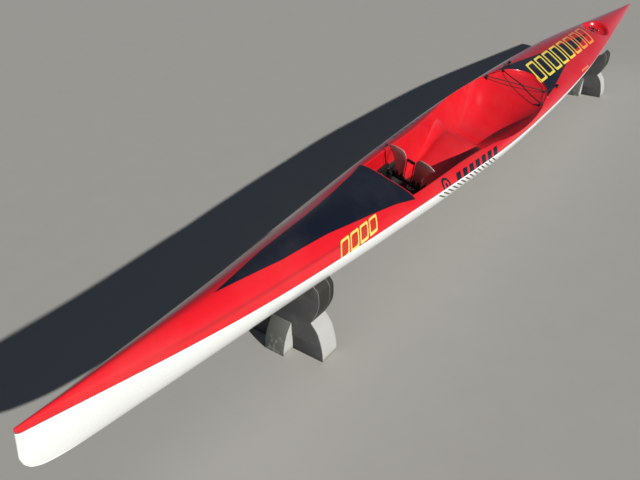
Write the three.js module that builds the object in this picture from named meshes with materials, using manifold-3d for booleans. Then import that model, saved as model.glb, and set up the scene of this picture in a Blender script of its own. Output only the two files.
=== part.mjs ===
// Surf ski: a long decked racing kayak with an open moulded cockpit, a pedal-steered rudder under the
// stern, and the two crossed-board foam stands that it lies on, heeled to its port side.
// Millimetres. The boat's own axes: +X to the bow, +Y to port, +Z up, x = 0 at mid length.

import * as THREE from 'three';
import { mergeVertices } from 'three/addons/utils/BufferGeometryUtils.js';
import Module from 'manifold-3d';

const wasm = await Module();
wasm.setup();

// Driving dimensions
const LENGTH = 6200;
const HALF = LENGTH / 2;
const HEEL = THREE.MathUtils.degToRad(16.6);
const HEEL_AXIS_HEIGHT = 256.4;
const GAP = 0.3;
const SKIN = 6;
const SEAM_EDGE = 3;

// Hull lines, bow to stern. x: station, beam: half beam at the seam, seam: its height, keel: lowest point,
// crown: deck height over the seam, shoulder: how square the deck edge is, full: 2 is a round section and
// less is a V
const LINES = [
  { x: 3100, beam: 7, seam: 372, keel: 250, crown: 16, shoulder: 2.2, full: 1.3 },
  { x: 3090, beam: 9, seam: 370, keel: 205, crown: 18, shoulder: 2.2, full: 1.3 },
  { x: 3070, beam: 11, seam: 367, keel: 168, crown: 21, shoulder: 2.2, full: 1.3 },
  { x: 3030, beam: 15, seam: 361, keel: 136, crown: 26, shoulder: 2.2, full: 1.3 },
  { x: 2950, beam: 24, seam: 350, keel: 108, crown: 34, shoulder: 2.2, full: 1.3 },
  { x: 2810, beam: 41, seam: 333, keel: 80, crown: 48, shoulder: 2.2, full: 1.44 },
  { x: 2600, beam: 65, seam: 308, keel: 66, crown: 66, shoulder: 2.2, full: 1.77 },
  { x: 2370, beam: 91, seam: 288, keel: 60, crown: 80, shoulder: 2.2, full: 1.85 },
  { x: 2130, beam: 116, seam: 277, keel: 56, crown: 90, shoulder: 2.2, full: 1.83 },
  { x: 1870, beam: 139, seam: 271, keel: 52, crown: 90, shoulder: 2.2, full: 1.91 },
  { x: 1600, beam: 161, seam: 268, keel: 48, crown: 70, shoulder: 2.6, full: 2.07 },
  { x: 1330, beam: 181, seam: 265, keel: 44, crown: 39, shoulder: 5, full: 2.2 },
  { x: 1050, beam: 200, seam: 261, keel: 42, crown: 41, shoulder: 4.4, full: 2.35 },
  { x: 760, beam: 218, seam: 255, keel: 40, crown: 42, shoulder: 5, full: 2.3 },
  { x: 450, beam: 234, seam: 249, keel: 40, crown: 44, shoulder: 9, full: 2.3 },
  { x: 130, beam: 240, seam: 247, keel: 40, crown: 46, shoulder: 12, full: 2.3 },
  { x: -200, beam: 238, seam: 250, keel: 41, crown: 48, shoulder: 8, full: 2.3 },
  { x: -520, beam: 233, seam: 256, keel: 43, crown: 50, shoulder: 5, full: 2.3 },
  { x: -850, beam: 222, seam: 263, keel: 45, crown: 50, shoulder: 3, full: 2.2 },
  { x: -1200, beam: 203, seam: 271, keel: 47, crown: 50, shoulder: 2.4, full: 2.1 },
  { x: -1550, beam: 174, seam: 278, keel: 50, crown: 50, shoulder: 2.2, full: 2.0 },
  { x: -1900, beam: 139, seam: 284, keel: 53, crown: 48, shoulder: 2.2, full: 1.9 },
  { x: -2250, beam: 101, seam: 289, keel: 65, crown: 42, shoulder: 2.2, full: 1.8 },
  { x: -2600, beam: 63, seam: 293, keel: 96, crown: 32, shoulder: 2.2, full: 1.6 },
  { x: -2850, beam: 34, seam: 296, keel: 144, crown: 22, shoulder: 2.2, full: 1.4 },
  { x: -3020, beam: 14, seam: 298, keel: 192, crown: 14, shoulder: 2.2, full: 1.3 },
  { x: -3100, beam: 5, seam: 298, keel: 250, crown: 9, shoulder: 2.2, full: 1.3 },
];

// Cockpit, front wall to the aft deck. x: station, width: half width of the opening, floor: lowest point,
// flat: share of the width before the wall rises, round: how square the wall is, ridge: height of the ramp
// over the floor, spread: its half width
const COCKPIT = [
  { x: 1300, width: 131, floor: 92, flat: 0.5, round: 1.6, ridge: 0, spread: 85 },
  { x: 1150, width: 139, floor: 88, flat: 0.5, round: 1.6, ridge: 0, spread: 85 },
  { x: 1000, width: 145, floor: 86, flat: 0.5, round: 1.6, ridge: 0, spread: 85 },
  { x: 850, width: 150, floor: 88, flat: 0.5, round: 1.6, ridge: 14, spread: 90 },
  { x: 700, width: 161, floor: 98, flat: 0.5, round: 1.6, ridge: 48, spread: 105 },
  { x: 580, width: 175, floor: 118, flat: 0.5, round: 1.7, ridge: 74, spread: 130 },
  { x: 480, width: 190, floor: 146, flat: 0.42, round: 1.9, ridge: 58, spread: 150 },
  { x: 400, width: 204, floor: 138, flat: 0.25, round: 2.3, ridge: 30, spread: 155 },
  { x: 300, width: 217, floor: 112, flat: 0.1, round: 2.7, ridge: 6, spread: 155 },
  { x: 180, width: 224, floor: 96, flat: 0, round: 3, ridge: 0, spread: 155 },
  { x: 60, width: 225, floor: 100, flat: 0, round: 3, ridge: 0, spread: 155 },
  { x: -40, width: 221, floor: 134, flat: 0, round: 2.8, ridge: 0, spread: 155 },
  { x: -120, width: 213, floor: 194, flat: 0, round: 2.6, ridge: 0, spread: 155 },
  { x: -200, width: 200, floor: 244, flat: 0, round: 2.4, ridge: 0, spread: 155 },
  { x: -290, width: 182, floor: 264, flat: 0, round: 2.4, ridge: 0, spread: 155 },
  { x: -380, width: 152, floor: 276, flat: 0, round: 2.4, ridge: 0, spread: 155 },
  { x: -450, width: 110, floor: 284, flat: 0, round: 2.4, ridge: 0, spread: 155 },
  { x: -495, width: 48, floor: 291, flat: 0, round: 2.4, ridge: 0, spread: 155 },
];

const DECK_LENGTHS = [['deck_fore', 1310, 3200], ['deck_cockpit', -580, 1310], ['deck_aft', -3200, -580]];

// Foam stands. Both are alike: a cross board with a cradle cut into its top, and a low lengthwise board
// that is halved into it. Outlines run up one side, as half widths and heights
const STANDS = [
  { name: 'front', x: 1901, y: -22.6 },
  { name: 'rear', x: -2034, y: 24.8 },
];
const BOARD_THICK = 102;
const CROSS_LOWER = [[207, 0], [206, 42], [198, 87], [182, 138], [150, 181]];
const CROSS_UPPER = [[150, 181], [174, 226], [190, 270], [193, 313], [188, 348], [163, 372]];
const CRADLE = [[163, 372], [145, 348], [124, 322], [94, 312], [0, 308]];
const LOW_OUTLINE = [[116, 0], [108, 45], [88, 95], [56, 139]];
const LAP_HEIGHT = 70;

// Footrest. A tube across the footwell slides on two side tracks, and two pedals hinge on it
const FOOT = { x: 1052, z: 170, tube: 8, play: 0.8 };
const HOOP = { x: 1103, z: 311, half: 22, bar: 4, thick: 7, high: 15 };
const TRACK = { from: 940, to: 1236, z: 170, high: 16, inner: 98, wall: 160 };
const PEDAL = { inner: 27, outer: 127, foot: 72, rise: 192, lean: 0.35, thick: 5, sleeve: 13 };

// Rudder under the stern, on a shaft that runs up through the hull into a well in the deck
const RUDDER = { x: -1895, shaft: 5, bore: 5.9, tube: 9, flange: 3, clear: 5 };
const BLADE = { depth: 166, chord: 92, tipChord: 62, lead: 0.32, sweep: 22, thick: 9, tipThin: 0.6 };
const BLADE_GRID = { rows: 4, sides: 16 };
const WELL = { x: -1930, fore: 200, aft: 140, wide: 115, deep: 38, steps: 16, rise: 0.5 };
const WELL_EDGE = { fore: 0.15, aft: 0.82 };
const TILLER = { half: 40, wide: 12, high: 6, lift: 14, hub: 12 };

// Deck hooks that hold the two crossed cords, and the small pegs that lead them aft
const HOOK = { foot: 11, footHigh: 4, post: 4, cap: 9, capHigh: 3 };
const PEG = { foot: 6, footHigh: 2, post: 2.5, cap: 4.5, capHigh: 2 };
const HOOKS = [
  { name: 'hook_fore_port', x: -200, y: 186, size: HOOK },
  { name: 'hook_fore_starboard', x: -200, y: -186, size: HOOK },
  { name: 'hook_aft_port', x: -525, y: 171, size: HOOK },
  { name: 'hook_aft_starboard', x: -525, y: -171, size: HOOK },
  { name: 'peg_port', x: -370, y: 145, size: PEG },
  { name: 'peg_starboard', x: -370, y: -145, size: PEG },
];
const CORD_RADIUS = 3;
const CORD_SIDES = 8;

// Points of the cord from the fore starboard hook to the aft port hook: round the hook, straight over the
// recess, round the peg and aft. The other cord is its mirror image, and crosses over it
const CORD_ROUTE = [
  [-207.3, -183, 295.5], [-207.6, -188.2, 295.5], [-204.6, -192.4, 295.5], [-199.7, -193.9, 295.5],
  [-194.8, -192, 295.5], [-192.2, -187.5, 295.5], [-193, -182.4, 295.5], [-197.1, -174.4, 295.7],
  [-214.5, -141.1, 296.6], [-235.9, -99.8, 297.8], [-257.4, -58.6, 299], [-278.9, -17.3, 300.1],
  [-300.4, 23.9, 301.3], [-321.8, 65.2, 302.5], [-343.3, 106.5, 303.6], [-360.6, 139.7, 304.6],
  [-364.8, 147.7, 304.8], [-365.8, 149.2, 304.8], [-367.3, 150.2, 304.8], [-368.9, 150.8, 304.8],
  [-377.8, 152.4, 305.7], [-407.6, 157.8, 306.2], [-446.3, 164.8, 307.1], [-484.9, 171.8, 308.2],
  [-514.7, 177.2, 309.1], [-523.6, 178.8, 309.3], [-528.7, 178, 309.3], [-532.2, 174.2, 309.3],
  [-532.6, 169, 309.3], [-529.7, 164.7, 309.3], [-524.8, 163.1, 309.3], [-519.9, 164.9, 309.3],
];
const CROSSING = { x: -288, lift: 9.5, reach: 60 };

const PLUG = { x: -325, y: 183, radius: 6, high: 2 };
const BAILER = { x: 960, y: 0, radius: 22, high: 5 };

const FINISH = {
  hull: { color: 0xf4f8f8, roughness: 0.2, metalness: 0 },
  deck: { color: 0xe62a36, roughness: 0.18, metalness: 0 },
  foam: { color: 0x55565a, roughness: 0.9, metalness: 0 },
  black: { color: 0x17181a, roughness: 0.5, metalness: 0 },
  smoky: { color: 0x7a6a66, roughness: 0.2, metalness: 0 },
  steel: { color: 0x9aa0a4, roughness: 0.35, metalness: 1 },
  carbon: { color: 0x1c1d20, roughness: 0.3, metalness: 0 },
};

// A smooth value between the rows of a table, by cubic steps with slopes from the neighbouring rows
function along(table, column, x) {
  let i = 0;
  while (i < table.length - 2 && x < table[i + 1].x) i += 1;
  const a = table[i];
  const b = table[i + 1];
  const before = table[Math.max(i - 1, 0)];
  const after = table[Math.min(i + 2, table.length - 1)];
  const span = b.x - a.x;
  const t = THREE.MathUtils.clamp((x - a.x) / span, 0, 1);
  const slopeA = ((b[column] - before[column]) / (b.x - before.x)) * span;
  const slopeB = ((after[column] - a[column]) / (after.x - a.x)) * span;
  const t2 = t * t;
  const t3 = t2 * t;
  return (2 * t3 - 3 * t2 + 1) * a[column] + (t3 - 2 * t2 + t) * slopeA
    + (3 * t2 - 2 * t3) * b[column] + (t3 - t2) * slopeB;
}

// A closed body through rings of equal length, with convex end rings as its caps
function loft(rings) {
  const count = rings[0].length;
  const positions = [];
  for (const ring of rings) for (const p of ring) positions.push(p.x, p.y, p.z);
  const index = [];
  for (let i = 0; i < rings.length - 1; i += 1) {
    for (let j = 0; j < count; j += 1) {
      const k = (j + 1) % count;
      const a = i * count + j;
      const b = i * count + k;
      const c = a + count;
      const d = b + count;
      index.push(a, b, c, b, d, c);
    }
  }
  const last = (rings.length - 1) * count;
  for (let j = 1; j < count - 1; j += 1) {
    index.push(0, j + 1, j);
    index.push(last, last + j, last + j + 1);
  }
  const geometry = new THREE.BufferGeometry();
  geometry.setAttribute('position', new THREE.Float32BufferAttribute(positions, 3));
  geometry.setIndex(index);
  return facingOut(geometry);
}

// Turns every face over when the body's volume comes out negative
function facingOut(geometry) {
  const p = geometry.attributes.position;
  const index = geometry.index.array;
  const [a, b, c] = [new THREE.Vector3(), new THREE.Vector3(), new THREE.Vector3()];
  let volume = 0;
  for (let i = 0; i < index.length; i += 3) {
    a.fromBufferAttribute(p, index[i]);
    b.fromBufferAttribute(p, index[i + 1]);
    c.fromBufferAttribute(p, index[i + 2]);
    volume += a.dot(b.cross(c));
  }
  if (volume < 0) {
    for (let i = 0; i < index.length; i += 3) [index[i], index[i + 1]] = [index[i + 1], index[i]];
  }
  return geometry;
}

// Solids are manifolds while they are cut and joined
function solid(geometry) {
  const plain = geometry.clone();
  plain.deleteAttribute('normal');
  plain.deleteAttribute('uv');
  const merged = mergeVertices(plain, 1e-4);
  return new wasm.Manifold(new wasm.Mesh({
    numProp: 3,
    vertProperties: new Float32Array(merged.attributes.position.array),
    triVerts: new Uint32Array(merged.index.array),
  }));
}

function surface(body) {
  const mesh = body.getMesh();
  const geometry = new THREE.BufferGeometry();
  geometry.setAttribute('position', new THREE.BufferAttribute(mesh.vertProperties, 3));
  geometry.setIndex(new THREE.BufferAttribute(mesh.triVerts, 1));
  geometry.computeVertexNormals();
  return geometry;
}

function box(x0, x1, y0, y1, z0, z1) {
  const geometry = new THREE.BoxGeometry(x1 - x0, y1 - y0, z1 - z0);
  geometry.translate((x0 + x1) / 2, (y0 + y1) / 2, (z0 + z1) / 2);
  return solid(geometry);
}

function upright(radius, z0, z1, x, y, sides = 16, topRadius = radius) {
  const geometry = new THREE.CylinderGeometry(topRadius, radius, z1 - z0, sides);
  geometry.rotateX(Math.PI / 2);
  geometry.translate(x, y, (z0 + z1) / 2);
  return solid(geometry);
}

function crossTube(radius, y0, y1, x, z, sides = 14) {
  const geometry = new THREE.CylinderGeometry(radius, radius, y1 - y0, sides);
  geometry.translate(x, (y0 + y1) / 2, z);
  return solid(geometry);
}

// Hull lines between the table's rows
const BODY_STEPS = 44;
const HULL_SIDES = 12;
const DECK_SIDES = 12;

function stationList() {
  const stations = LINES.slice(0, 5).map((row) => row.x);
  for (let i = 1; i < BODY_STEPS; i += 1) {
    stations.push(THREE.MathUtils.lerp(LINES[4].x, LINES[LINES.length - 1].x, i / BODY_STEPS));
  }
  stations.push(-HALF);
  return stations;
}

function hullRing(x, grow) {
  const beam = along(LINES, 'beam', x) + grow;
  const seam = along(LINES, 'seam', x);
  const keel = along(LINES, 'keel', x) - grow;
  const power = 2 / along(LINES, 'full', x);
  const ring = [];
  for (let j = 0; j <= HULL_SIDES; j += 1) {
    const angle = Math.PI * (j / HULL_SIDES);
    const across = Math.cos(angle);
    const y = beam * Math.sign(across) * Math.abs(across) ** power;
    ring.push(new THREE.Vector3(x, y, seam - (seam - keel) * Math.sin(angle) ** power));
  }
  return ring;
}

function deckHeight(x, y) {
  const side = Math.min(Math.abs(y) / along(LINES, 'beam', x), 1);
  const rise = along(LINES, 'crown', x) * (1 - side ** along(LINES, 'shoulder', x));
  return along(LINES, 'seam', x) + SEAM_EDGE + rise;
}

function deckRing(x, lift) {
  const beam = along(LINES, 'beam', x);
  const ring = [];
  for (let j = 0; j <= DECK_SIDES; j += 1) {
    const y = -beam * Math.cos(Math.PI * (j / DECK_SIDES));
    ring.push(new THREE.Vector3(x, y, deckHeight(x, y) + lift));
  }
  return ring;
}

// The cockpit's floor as a height over the boat's length and width
const CAVITY_TOP = 460;
const CAVITY_SIDES = 14;
const CAVITY_STEPS = 32;

function cockpitHeight(x, part, grow) {
  const floor = along(COCKPIT, 'floor', x) - grow;
  const width = along(COCKPIT, 'width', x);
  const rim = deckHeight(x, width);
  const flat = Math.max(along(COCKPIT, 'flat', x), 0);
  const wall = Math.max((Math.abs(part) - flat) / (1 - flat), 0) ** along(COCKPIT, 'round', x);
  const bulge = Math.exp(-(((part * width) / along(COCKPIT, 'spread', x)) ** 4));
  const ridge = Math.max(along(COCKPIT, 'ridge', x), 0) * bulge;
  return floor + (rim - floor) * wall + ridge;
}

function cavity(grow) {
  const front = COCKPIT[0].x + grow;
  const back = COCKPIT[COCKPIT.length - 1].x - grow;
  const rings = [];
  for (let i = 0; i <= CAVITY_STEPS; i += 1) {
    const x = THREE.MathUtils.lerp(front, back, i / CAVITY_STEPS);
    const width = along(COCKPIT, 'width', x) + grow;
    const ring = [new THREE.Vector3(x, -width, CAVITY_TOP)];
    for (let j = 0; j <= CAVITY_SIDES; j += 1) {
      const part = -Math.cos(Math.PI * (j / CAVITY_SIDES));
      ring.push(new THREE.Vector3(x, part * width, cockpitHeight(x, part, grow)));
    }
    ring.push(new THREE.Vector3(x, width, CAVITY_TOP));
    rings.push(ring);
  }
  return solid(loft(rings));
}

const stations = stationList();

// The whole closed outer form, grown by a clearance, for what rests against it
function wholeForm(grow) {
  return loft(stations.map((x) => hullRing(x, grow).concat(deckRing(x, grow))));
}

const skiPlace = new THREE.Matrix4().makeRotationX(-HEEL).setPosition(0, 0, HEEL_AXIS_HEIGHT);

const restingHull = solid(wholeForm(GAP).applyMatrix4(skiPlace));

const boat = new THREE.Group();
boat.applyMatrix4(skiPlace);
const stands = new THREE.Group();

function addPart(group, name, body, finish) {
  const mesh = new THREE.Mesh(surface(body), new THREE.MeshStandardMaterial(finish));
  mesh.name = name;
  group.add(mesh);
}

// Hull and deck, with the cockpit moulded into the deck
const rudderHole = upright(RUDDER.tube + GAP, -50, 420, RUDDER.x, 0, 20);

function makeHull() {
  const blank = solid(loft(stations.map((x) => hullRing(x, 0))));
  return blank.subtract(cavity(SKIN + GAP)).subtract(rudderHole);
}

function makeDeck() {
  const blank = solid(loft(stations.map((x) => {
    const beam = along(LINES, 'beam', x);
    const low = along(LINES, 'seam', x) + GAP;
    return [new THREE.Vector3(x, beam, low), new THREE.Vector3(x, -beam, low)].concat(deckRing(x, 0));
  })));
  const tub = cavity(SKIN).intersect(solid(wholeForm(0)));
  return blank.add(tub).subtract(cavity(0)).subtract(rudderWell()).subtract(rudderHole);
}

// How far the rudder-head recess lies under the deck: a scoop that deepens aft to a steep round end
function wellDrop(x, y) {
  const ahead = x - WELL.x;
  const u = ahead / (ahead > 0 ? WELL.fore : WELL.aft);
  const v = y / WELL.wide;
  const reach = Math.hypot(u, v);
  const turn = reach > 0 ? (1 + u / reach) / 2 : 0.5;
  const edge = THREE.MathUtils.lerp(WELL_EDGE.aft, WELL_EDGE.fore, turn);
  return WELL.deep * (1 - THREE.MathUtils.smoothstep(reach, edge, 1));
}

function rudderWell() {
  const rings = [];
  for (let i = 0; i <= WELL.steps; i += 1) {
    const x = THREE.MathUtils.lerp(WELL.x - WELL.aft, WELL.x + WELL.fore, i / WELL.steps);
    const above = deckHeight(x, 0) + 2 * WELL.deep;
    const ring = [new THREE.Vector3(x, -WELL.wide, above)];
    for (let j = 0; j <= WELL.steps; j += 1) {
      const y = THREE.MathUtils.lerp(-WELL.wide, WELL.wide, j / WELL.steps);
      ring.push(new THREE.Vector3(x, y, deckHeight(x, y) - wellDrop(x, y) + WELL.rise));
    }
    ring.push(new THREE.Vector3(x, WELL.wide, above));
    rings.push(ring);
  }
  return solid(loft(rings));
}

addPart(boat, 'hull', makeHull(), FINISH.hull);

// The deck moulding in three lengths: foredeck, cockpit and aft deck
const wholeDeck = makeDeck();
for (const [name, from, to] of DECK_LENGTHS) {
  const length = box(from + GAP / 2, to - GAP / 2, -HALF, HALF, -HALF, HALF);
  addPart(boat, name, wholeDeck.intersect(length), FINISH.deck);
}

// A square bar between two points
function strut(from, to, width) {
  const length = from.distanceTo(to);
  const geometry = new THREE.BoxGeometry(width, width, length);
  const upwards = new THREE.Vector3(0, 0, 1);
  const way = to.clone().sub(from).normalize();
  geometry.applyQuaternion(new THREE.Quaternion().setFromUnitVectors(upwards, way));
  const middle = from.clone().add(to).multiplyScalar(0.5);
  geometry.translate(middle.x, middle.y, middle.z);
  return solid(geometry);
}

// Footrest: side tracks on the footwell walls, a carriage that slides along them, and the pedals
const insideCockpit = cavity(-GAP);
const moulding = solid(wholeForm(GAP)).subtract(insideCockpit);

function makeTrack(side) {
  const [right, left] = [side * TRACK.inner, side * TRACK.wall].sort((a, b) => a - b);
  const low = TRACK.z - TRACK.high / 2;
  return box(TRACK.from, TRACK.to, right, left, low, low + TRACK.high).intersect(insideCockpit);
}

function makeCarriage() {
  const reach = TRACK.inner - FOOT.play;
  let body = crossTube(FOOT.tube, -reach, reach, FOOT.x, FOOT.z, 16);
  for (const side of [-1, 1]) {
    const y = side * (HOOP.half - HOOP.bar / 2);
    const foot = new THREE.Vector3(FOOT.x, y, FOOT.z);
    body = body.add(strut(foot, new THREE.Vector3(HOOP.x, y, HOOP.z), HOOP.bar));
  }
  const [back, low] = [HOOP.x - HOOP.thick / 2, HOOP.z - HOOP.high / 2];
  return body.add(box(back, back + HOOP.thick, -HOOP.half, HOOP.half, low, low + HOOP.high));
}

function makePedal(side) {
  const { inner, outer, foot, rise, thick, sleeve, lean } = PEDAL;
  const outline = new THREE.Shape();
  outline.moveTo(inner, 0);
  outline.lineTo(foot, 0);
  outline.quadraticCurveTo(foot + 4, rise * 0.42, foot + 16, rise * 0.58);
  outline.quadraticCurveTo(outer - 23, rise * 0.78, outer - 3, rise * 0.885);
  outline.quadraticCurveTo(outer + 3, rise * 0.94, outer - 14, rise * 0.97);
  outline.quadraticCurveTo(outer - 42, rise * 1.05, inner + 20, rise);
  outline.quadraticCurveTo(inner + 2, rise * 0.94, inner, rise * 0.78);
  const plate = new THREE.ExtrudeGeometry(outline, { depth: thick, bevelEnabled: false, curveSegments: 6 });
  // The outline's width runs along Y, its height up the leaning plate
  plate.translate(0, 0, -thick / 2);
  plate.applyMatrix4(new THREE.Matrix4().makeBasis(
    new THREE.Vector3(0, 1, 0),
    new THREE.Vector3(Math.sin(lean), 0, Math.cos(lean)),
    new THREE.Vector3(Math.cos(lean), 0, -Math.sin(lean)),
  ));
  if (side < 0) plate.scale(1, -1, 1);
  plate.translate(FOOT.x, 0, FOOT.z);
  const ends = [side * inner, side * foot].sort((a, b) => a - b);
  const bore = crossTube(FOOT.tube + FOOT.play, -200, 200, FOOT.x, FOOT.z, 20);
  const tube = crossTube(sleeve, ends[0], ends[1], FOOT.x, FOOT.z, 20);
  return solid(facingOut(mergedIndex(plate))).add(tube).subtract(bore);
}

function mergedIndex(geometry) {
  geometry.deleteAttribute('normal');
  geometry.deleteAttribute('uv');
  return mergeVertices(geometry, 1e-4);
}

// Rudder, with the tube that its shaft turns in
const rudderFloor = deckHeight(RUDDER.x, 0) - wellDrop(RUDDER.x, 0);

function makeRudderTube() {
  const top = rudderFloor + RUDDER.flange;
  const low = along(LINES, 'keel', RUDDER.x) + RUDDER.flange;
  const bore = upright(RUDDER.bore, 0, 500, RUDDER.x, 0, 20);
  return upright(RUDDER.tube, low, top, RUDDER.x, 0, 20).subtract(bore);
}

function makeBlade() {
  const top = along(LINES, 'keel', RUDDER.x) - RUDDER.clear;
  const rings = [];
  for (let i = 0; i <= BLADE_GRID.rows; i += 1) {
    const down = i / BLADE_GRID.rows;
    const chord = THREE.MathUtils.lerp(BLADE.chord, BLADE.tipChord, down ** 2);
    const lead = RUDDER.x + BLADE.lead * BLADE.chord - BLADE.sweep * down;
    const half = THREE.MathUtils.lerp(BLADE.thick, BLADE.thick * BLADE.tipThin, down) / 2;
    const ring = [];
    for (let j = 0; j < BLADE_GRID.sides; j += 1) {
      const angle = (2 * Math.PI * j) / BLADE_GRID.sides;
      const back = (1 - Math.cos(angle)) / 2;
      // Fuller ahead of the middle, thin towards the trailing edge
      const y = half * Math.sin(angle) * (1.35 - 0.74 * back);
      ring.push(new THREE.Vector3(lead - chord * back, y, top - BLADE.depth * down));
    }
    rings.push(ring);
  }
  return solid(loft(rings));
}

function makeRudderShaft() {
  const low = along(LINES, 'keel', RUDDER.x) - RUDDER.clear + GAP;
  const top = rudderFloor + RUDDER.flange + TILLER.lift + TILLER.high;
  return upright(RUDDER.shaft, low, top, RUDDER.x, 0, 20);
}

function makeTiller() {
  const low = rudderFloor + RUDDER.flange + TILLER.lift;
  const top = low + TILLER.high;
  const back = RUDDER.x - TILLER.wide / 2;
  const arm = box(back, back + TILLER.wide, -TILLER.half, TILLER.half, low, top);
  const hub = upright(TILLER.hub, low, top, RUDDER.x, 0, 20);
  return arm.add(hub).subtract(upright(RUDDER.shaft + GAP, 0, 500, RUDDER.x, 0, 20));
}

// Bungee, round the hooks
function surfaceHeight(x, y) {
  const inside = x < COCKPIT[0].x && x > COCKPIT[COCKPIT.length - 1].x;
  const width = along(COCKPIT, 'width', x);
  if (inside && Math.abs(y) < width) return cockpitHeight(x, y / width, 0);
  return deckHeight(x, y);
}

function makeHook({ x, y, size }) {
  const base = Math.max(surfaceHeight(x, y - size.foot), surfaceHeight(x, y + size.foot));
  const postTop = base + size.footHigh + 2 * CORD_RADIUS + 2;
  const body = upright(size.foot, base - 20, base + size.footHigh, x, y, 18)
    .add(upright(size.post, base, postTop + size.capHigh, x, y, 12))
    .add(upright(size.cap, postTop, postTop + size.capHigh, x, y, 18));
  return body.subtract(moulding);
}

// A smooth route whose steps follow its points and not its length, so that tight turns stay round
class CordRoute extends THREE.CatmullRomCurve3 {
  getPointAt(u, target) {
    return this.getPoint(u, target);
  }

  getTangentAt(u, target) {
    return this.getTangent(u, target);
  }
}

function makeCord(route) {
  const section = new THREE.Shape();
  for (let i = 0; i < CORD_SIDES; i += 1) {
    const angle = (2 * Math.PI * i) / CORD_SIDES;
    const [u, v] = [CORD_RADIUS * Math.cos(angle), CORD_RADIUS * Math.sin(angle)];
    if (i === 0) section.moveTo(u, v);
    else section.lineTo(u, v);
  }
  const options = { steps: route.length - 1, extrudePath: new CordRoute(route, false, 'centripetal') };
  const cord = new THREE.ExtrudeGeometry(section, { ...options, bevelEnabled: false });
  return solid(facingOut(mergedIndex(cord)));
}

const lowerRoute = CORD_ROUTE.map(([x, y, z]) => new THREE.Vector3(x, y, z));
const upperRoute = lowerRoute.map(({ x, y, z }) => {
  const away = Math.hypot(x - CROSSING.x, y) / CROSSING.reach;
  return new THREE.Vector3(x, -y, z + CROSSING.lift * Math.exp(-(away ** 2)));
});

// Small fittings on and in the mouldings
function makeDrainPlug() {
  const base = deckHeight(PLUG.x, PLUG.y);
  return upright(PLUG.radius, base - 10, base + PLUG.high, PLUG.x, PLUG.y, 20).subtract(moulding);
}

function makeBailer() {
  const floor = cockpitHeight(BAILER.x, BAILER.y / along(COCKPIT, 'width', BAILER.x), 0);
  const body = upright(BAILER.radius, floor - 30, floor + BAILER.high, BAILER.x, BAILER.y, 20);
  return body.intersect(insideCockpit);
}

// Foam stands
function boardShape(outline, cut) {
  const shape = new THREE.Shape();
  const left = outline.map(([w, z]) => [-w, z]).reverse();
  const points = outline.concat(cut, left);
  shape.moveTo(points[0][0], points[0][1]);
  for (const [w, z] of points.slice(1)) shape.lineTo(w, z);
  return new THREE.ExtrudeGeometry(shape, { depth: BOARD_THICK, bevelEnabled: false });
}

function makeCrossBoard({ x, y }) {
  const cradle = CRADLE.concat(CRADLE.slice(0, -1).map(([w, z]) => [-w, z]).reverse());
  const geometry = boardShape(CROSS_LOWER.concat(CROSS_UPPER.slice(1)), cradle.slice(1, -1));
  geometry.translate(0, 0, -BOARD_THICK / 2);
  geometry.rotateX(Math.PI / 2);
  geometry.rotateZ(Math.PI / 2);
  geometry.translate(x, y, 0);
  const half = BOARD_THICK / 2 + GAP;
  const lap = box(x - 200, x + 200, y - half, y + half, -10, LAP_HEIGHT);
  return solid(geometry).subtract(restingHull).subtract(lap);
}

function makeLowBoard({ x, y }) {
  const geometry = boardShape(LOW_OUTLINE, []);
  geometry.translate(0, 0, -BOARD_THICK / 2);
  geometry.rotateX(Math.PI / 2);
  geometry.translate(x, y, 0);
  const half = BOARD_THICK / 2 + GAP;
  return solid(geometry).subtract(box(x - half, x + half, y - 200, y + 200, LAP_HEIGHT - GAP, 400));
}

for (const [name, side] of [['port', 1], ['starboard', -1]]) {
  addPart(boat, `foot_track_${name}`, makeTrack(side), FINISH.black);
  addPart(boat, `pedal_${name}`, makePedal(side), FINISH.smoky);
}
addPart(boat, 'foot_carriage', makeCarriage(), FINISH.black);
addPart(boat, 'rudder_tube', makeRudderTube(), FINISH.black);
addPart(boat, 'rudder_shaft', makeRudderShaft(), FINISH.steel);
addPart(boat, 'rudder_blade', makeBlade(), FINISH.carbon);
addPart(boat, 'tiller', makeTiller(), FINISH.steel);
addPart(boat, 'drain_plug', makeDrainPlug(), FINISH.black);
addPart(boat, 'bailer', makeBailer(), FINISH.steel);
addPart(boat, 'bungee_lower', makeCord(lowerRoute), FINISH.black);
addPart(boat, 'bungee_upper', makeCord(upperRoute), FINISH.black);
for (const hook of HOOKS) addPart(boat, `deck_${hook.name}`, makeHook(hook), FINISH.black);
for (const stand of STANDS) {
  addPart(stands, `stand_${stand.name}_cross`, makeCrossBoard(stand), FINISH.foam);
  addPart(stands, `stand_${stand.name}_low`, makeLowBoard(stand), FINISH.foam);
}

const surfSki = new THREE.Group();
surfSki.add(boat, stands);

// The part's origin is the middle of its bounding box, on the ground
const bounds = new THREE.Box3().setFromObject(surfSki, true);
const middle = bounds.getCenter(new THREE.Vector3()).setZ(bounds.min.z);
for (const group of [boat, stands]) group.position.sub(middle);

export default surfSki;
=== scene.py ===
import math

import bmesh
import bpy
from mathutils import Matrix, Vector


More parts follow.
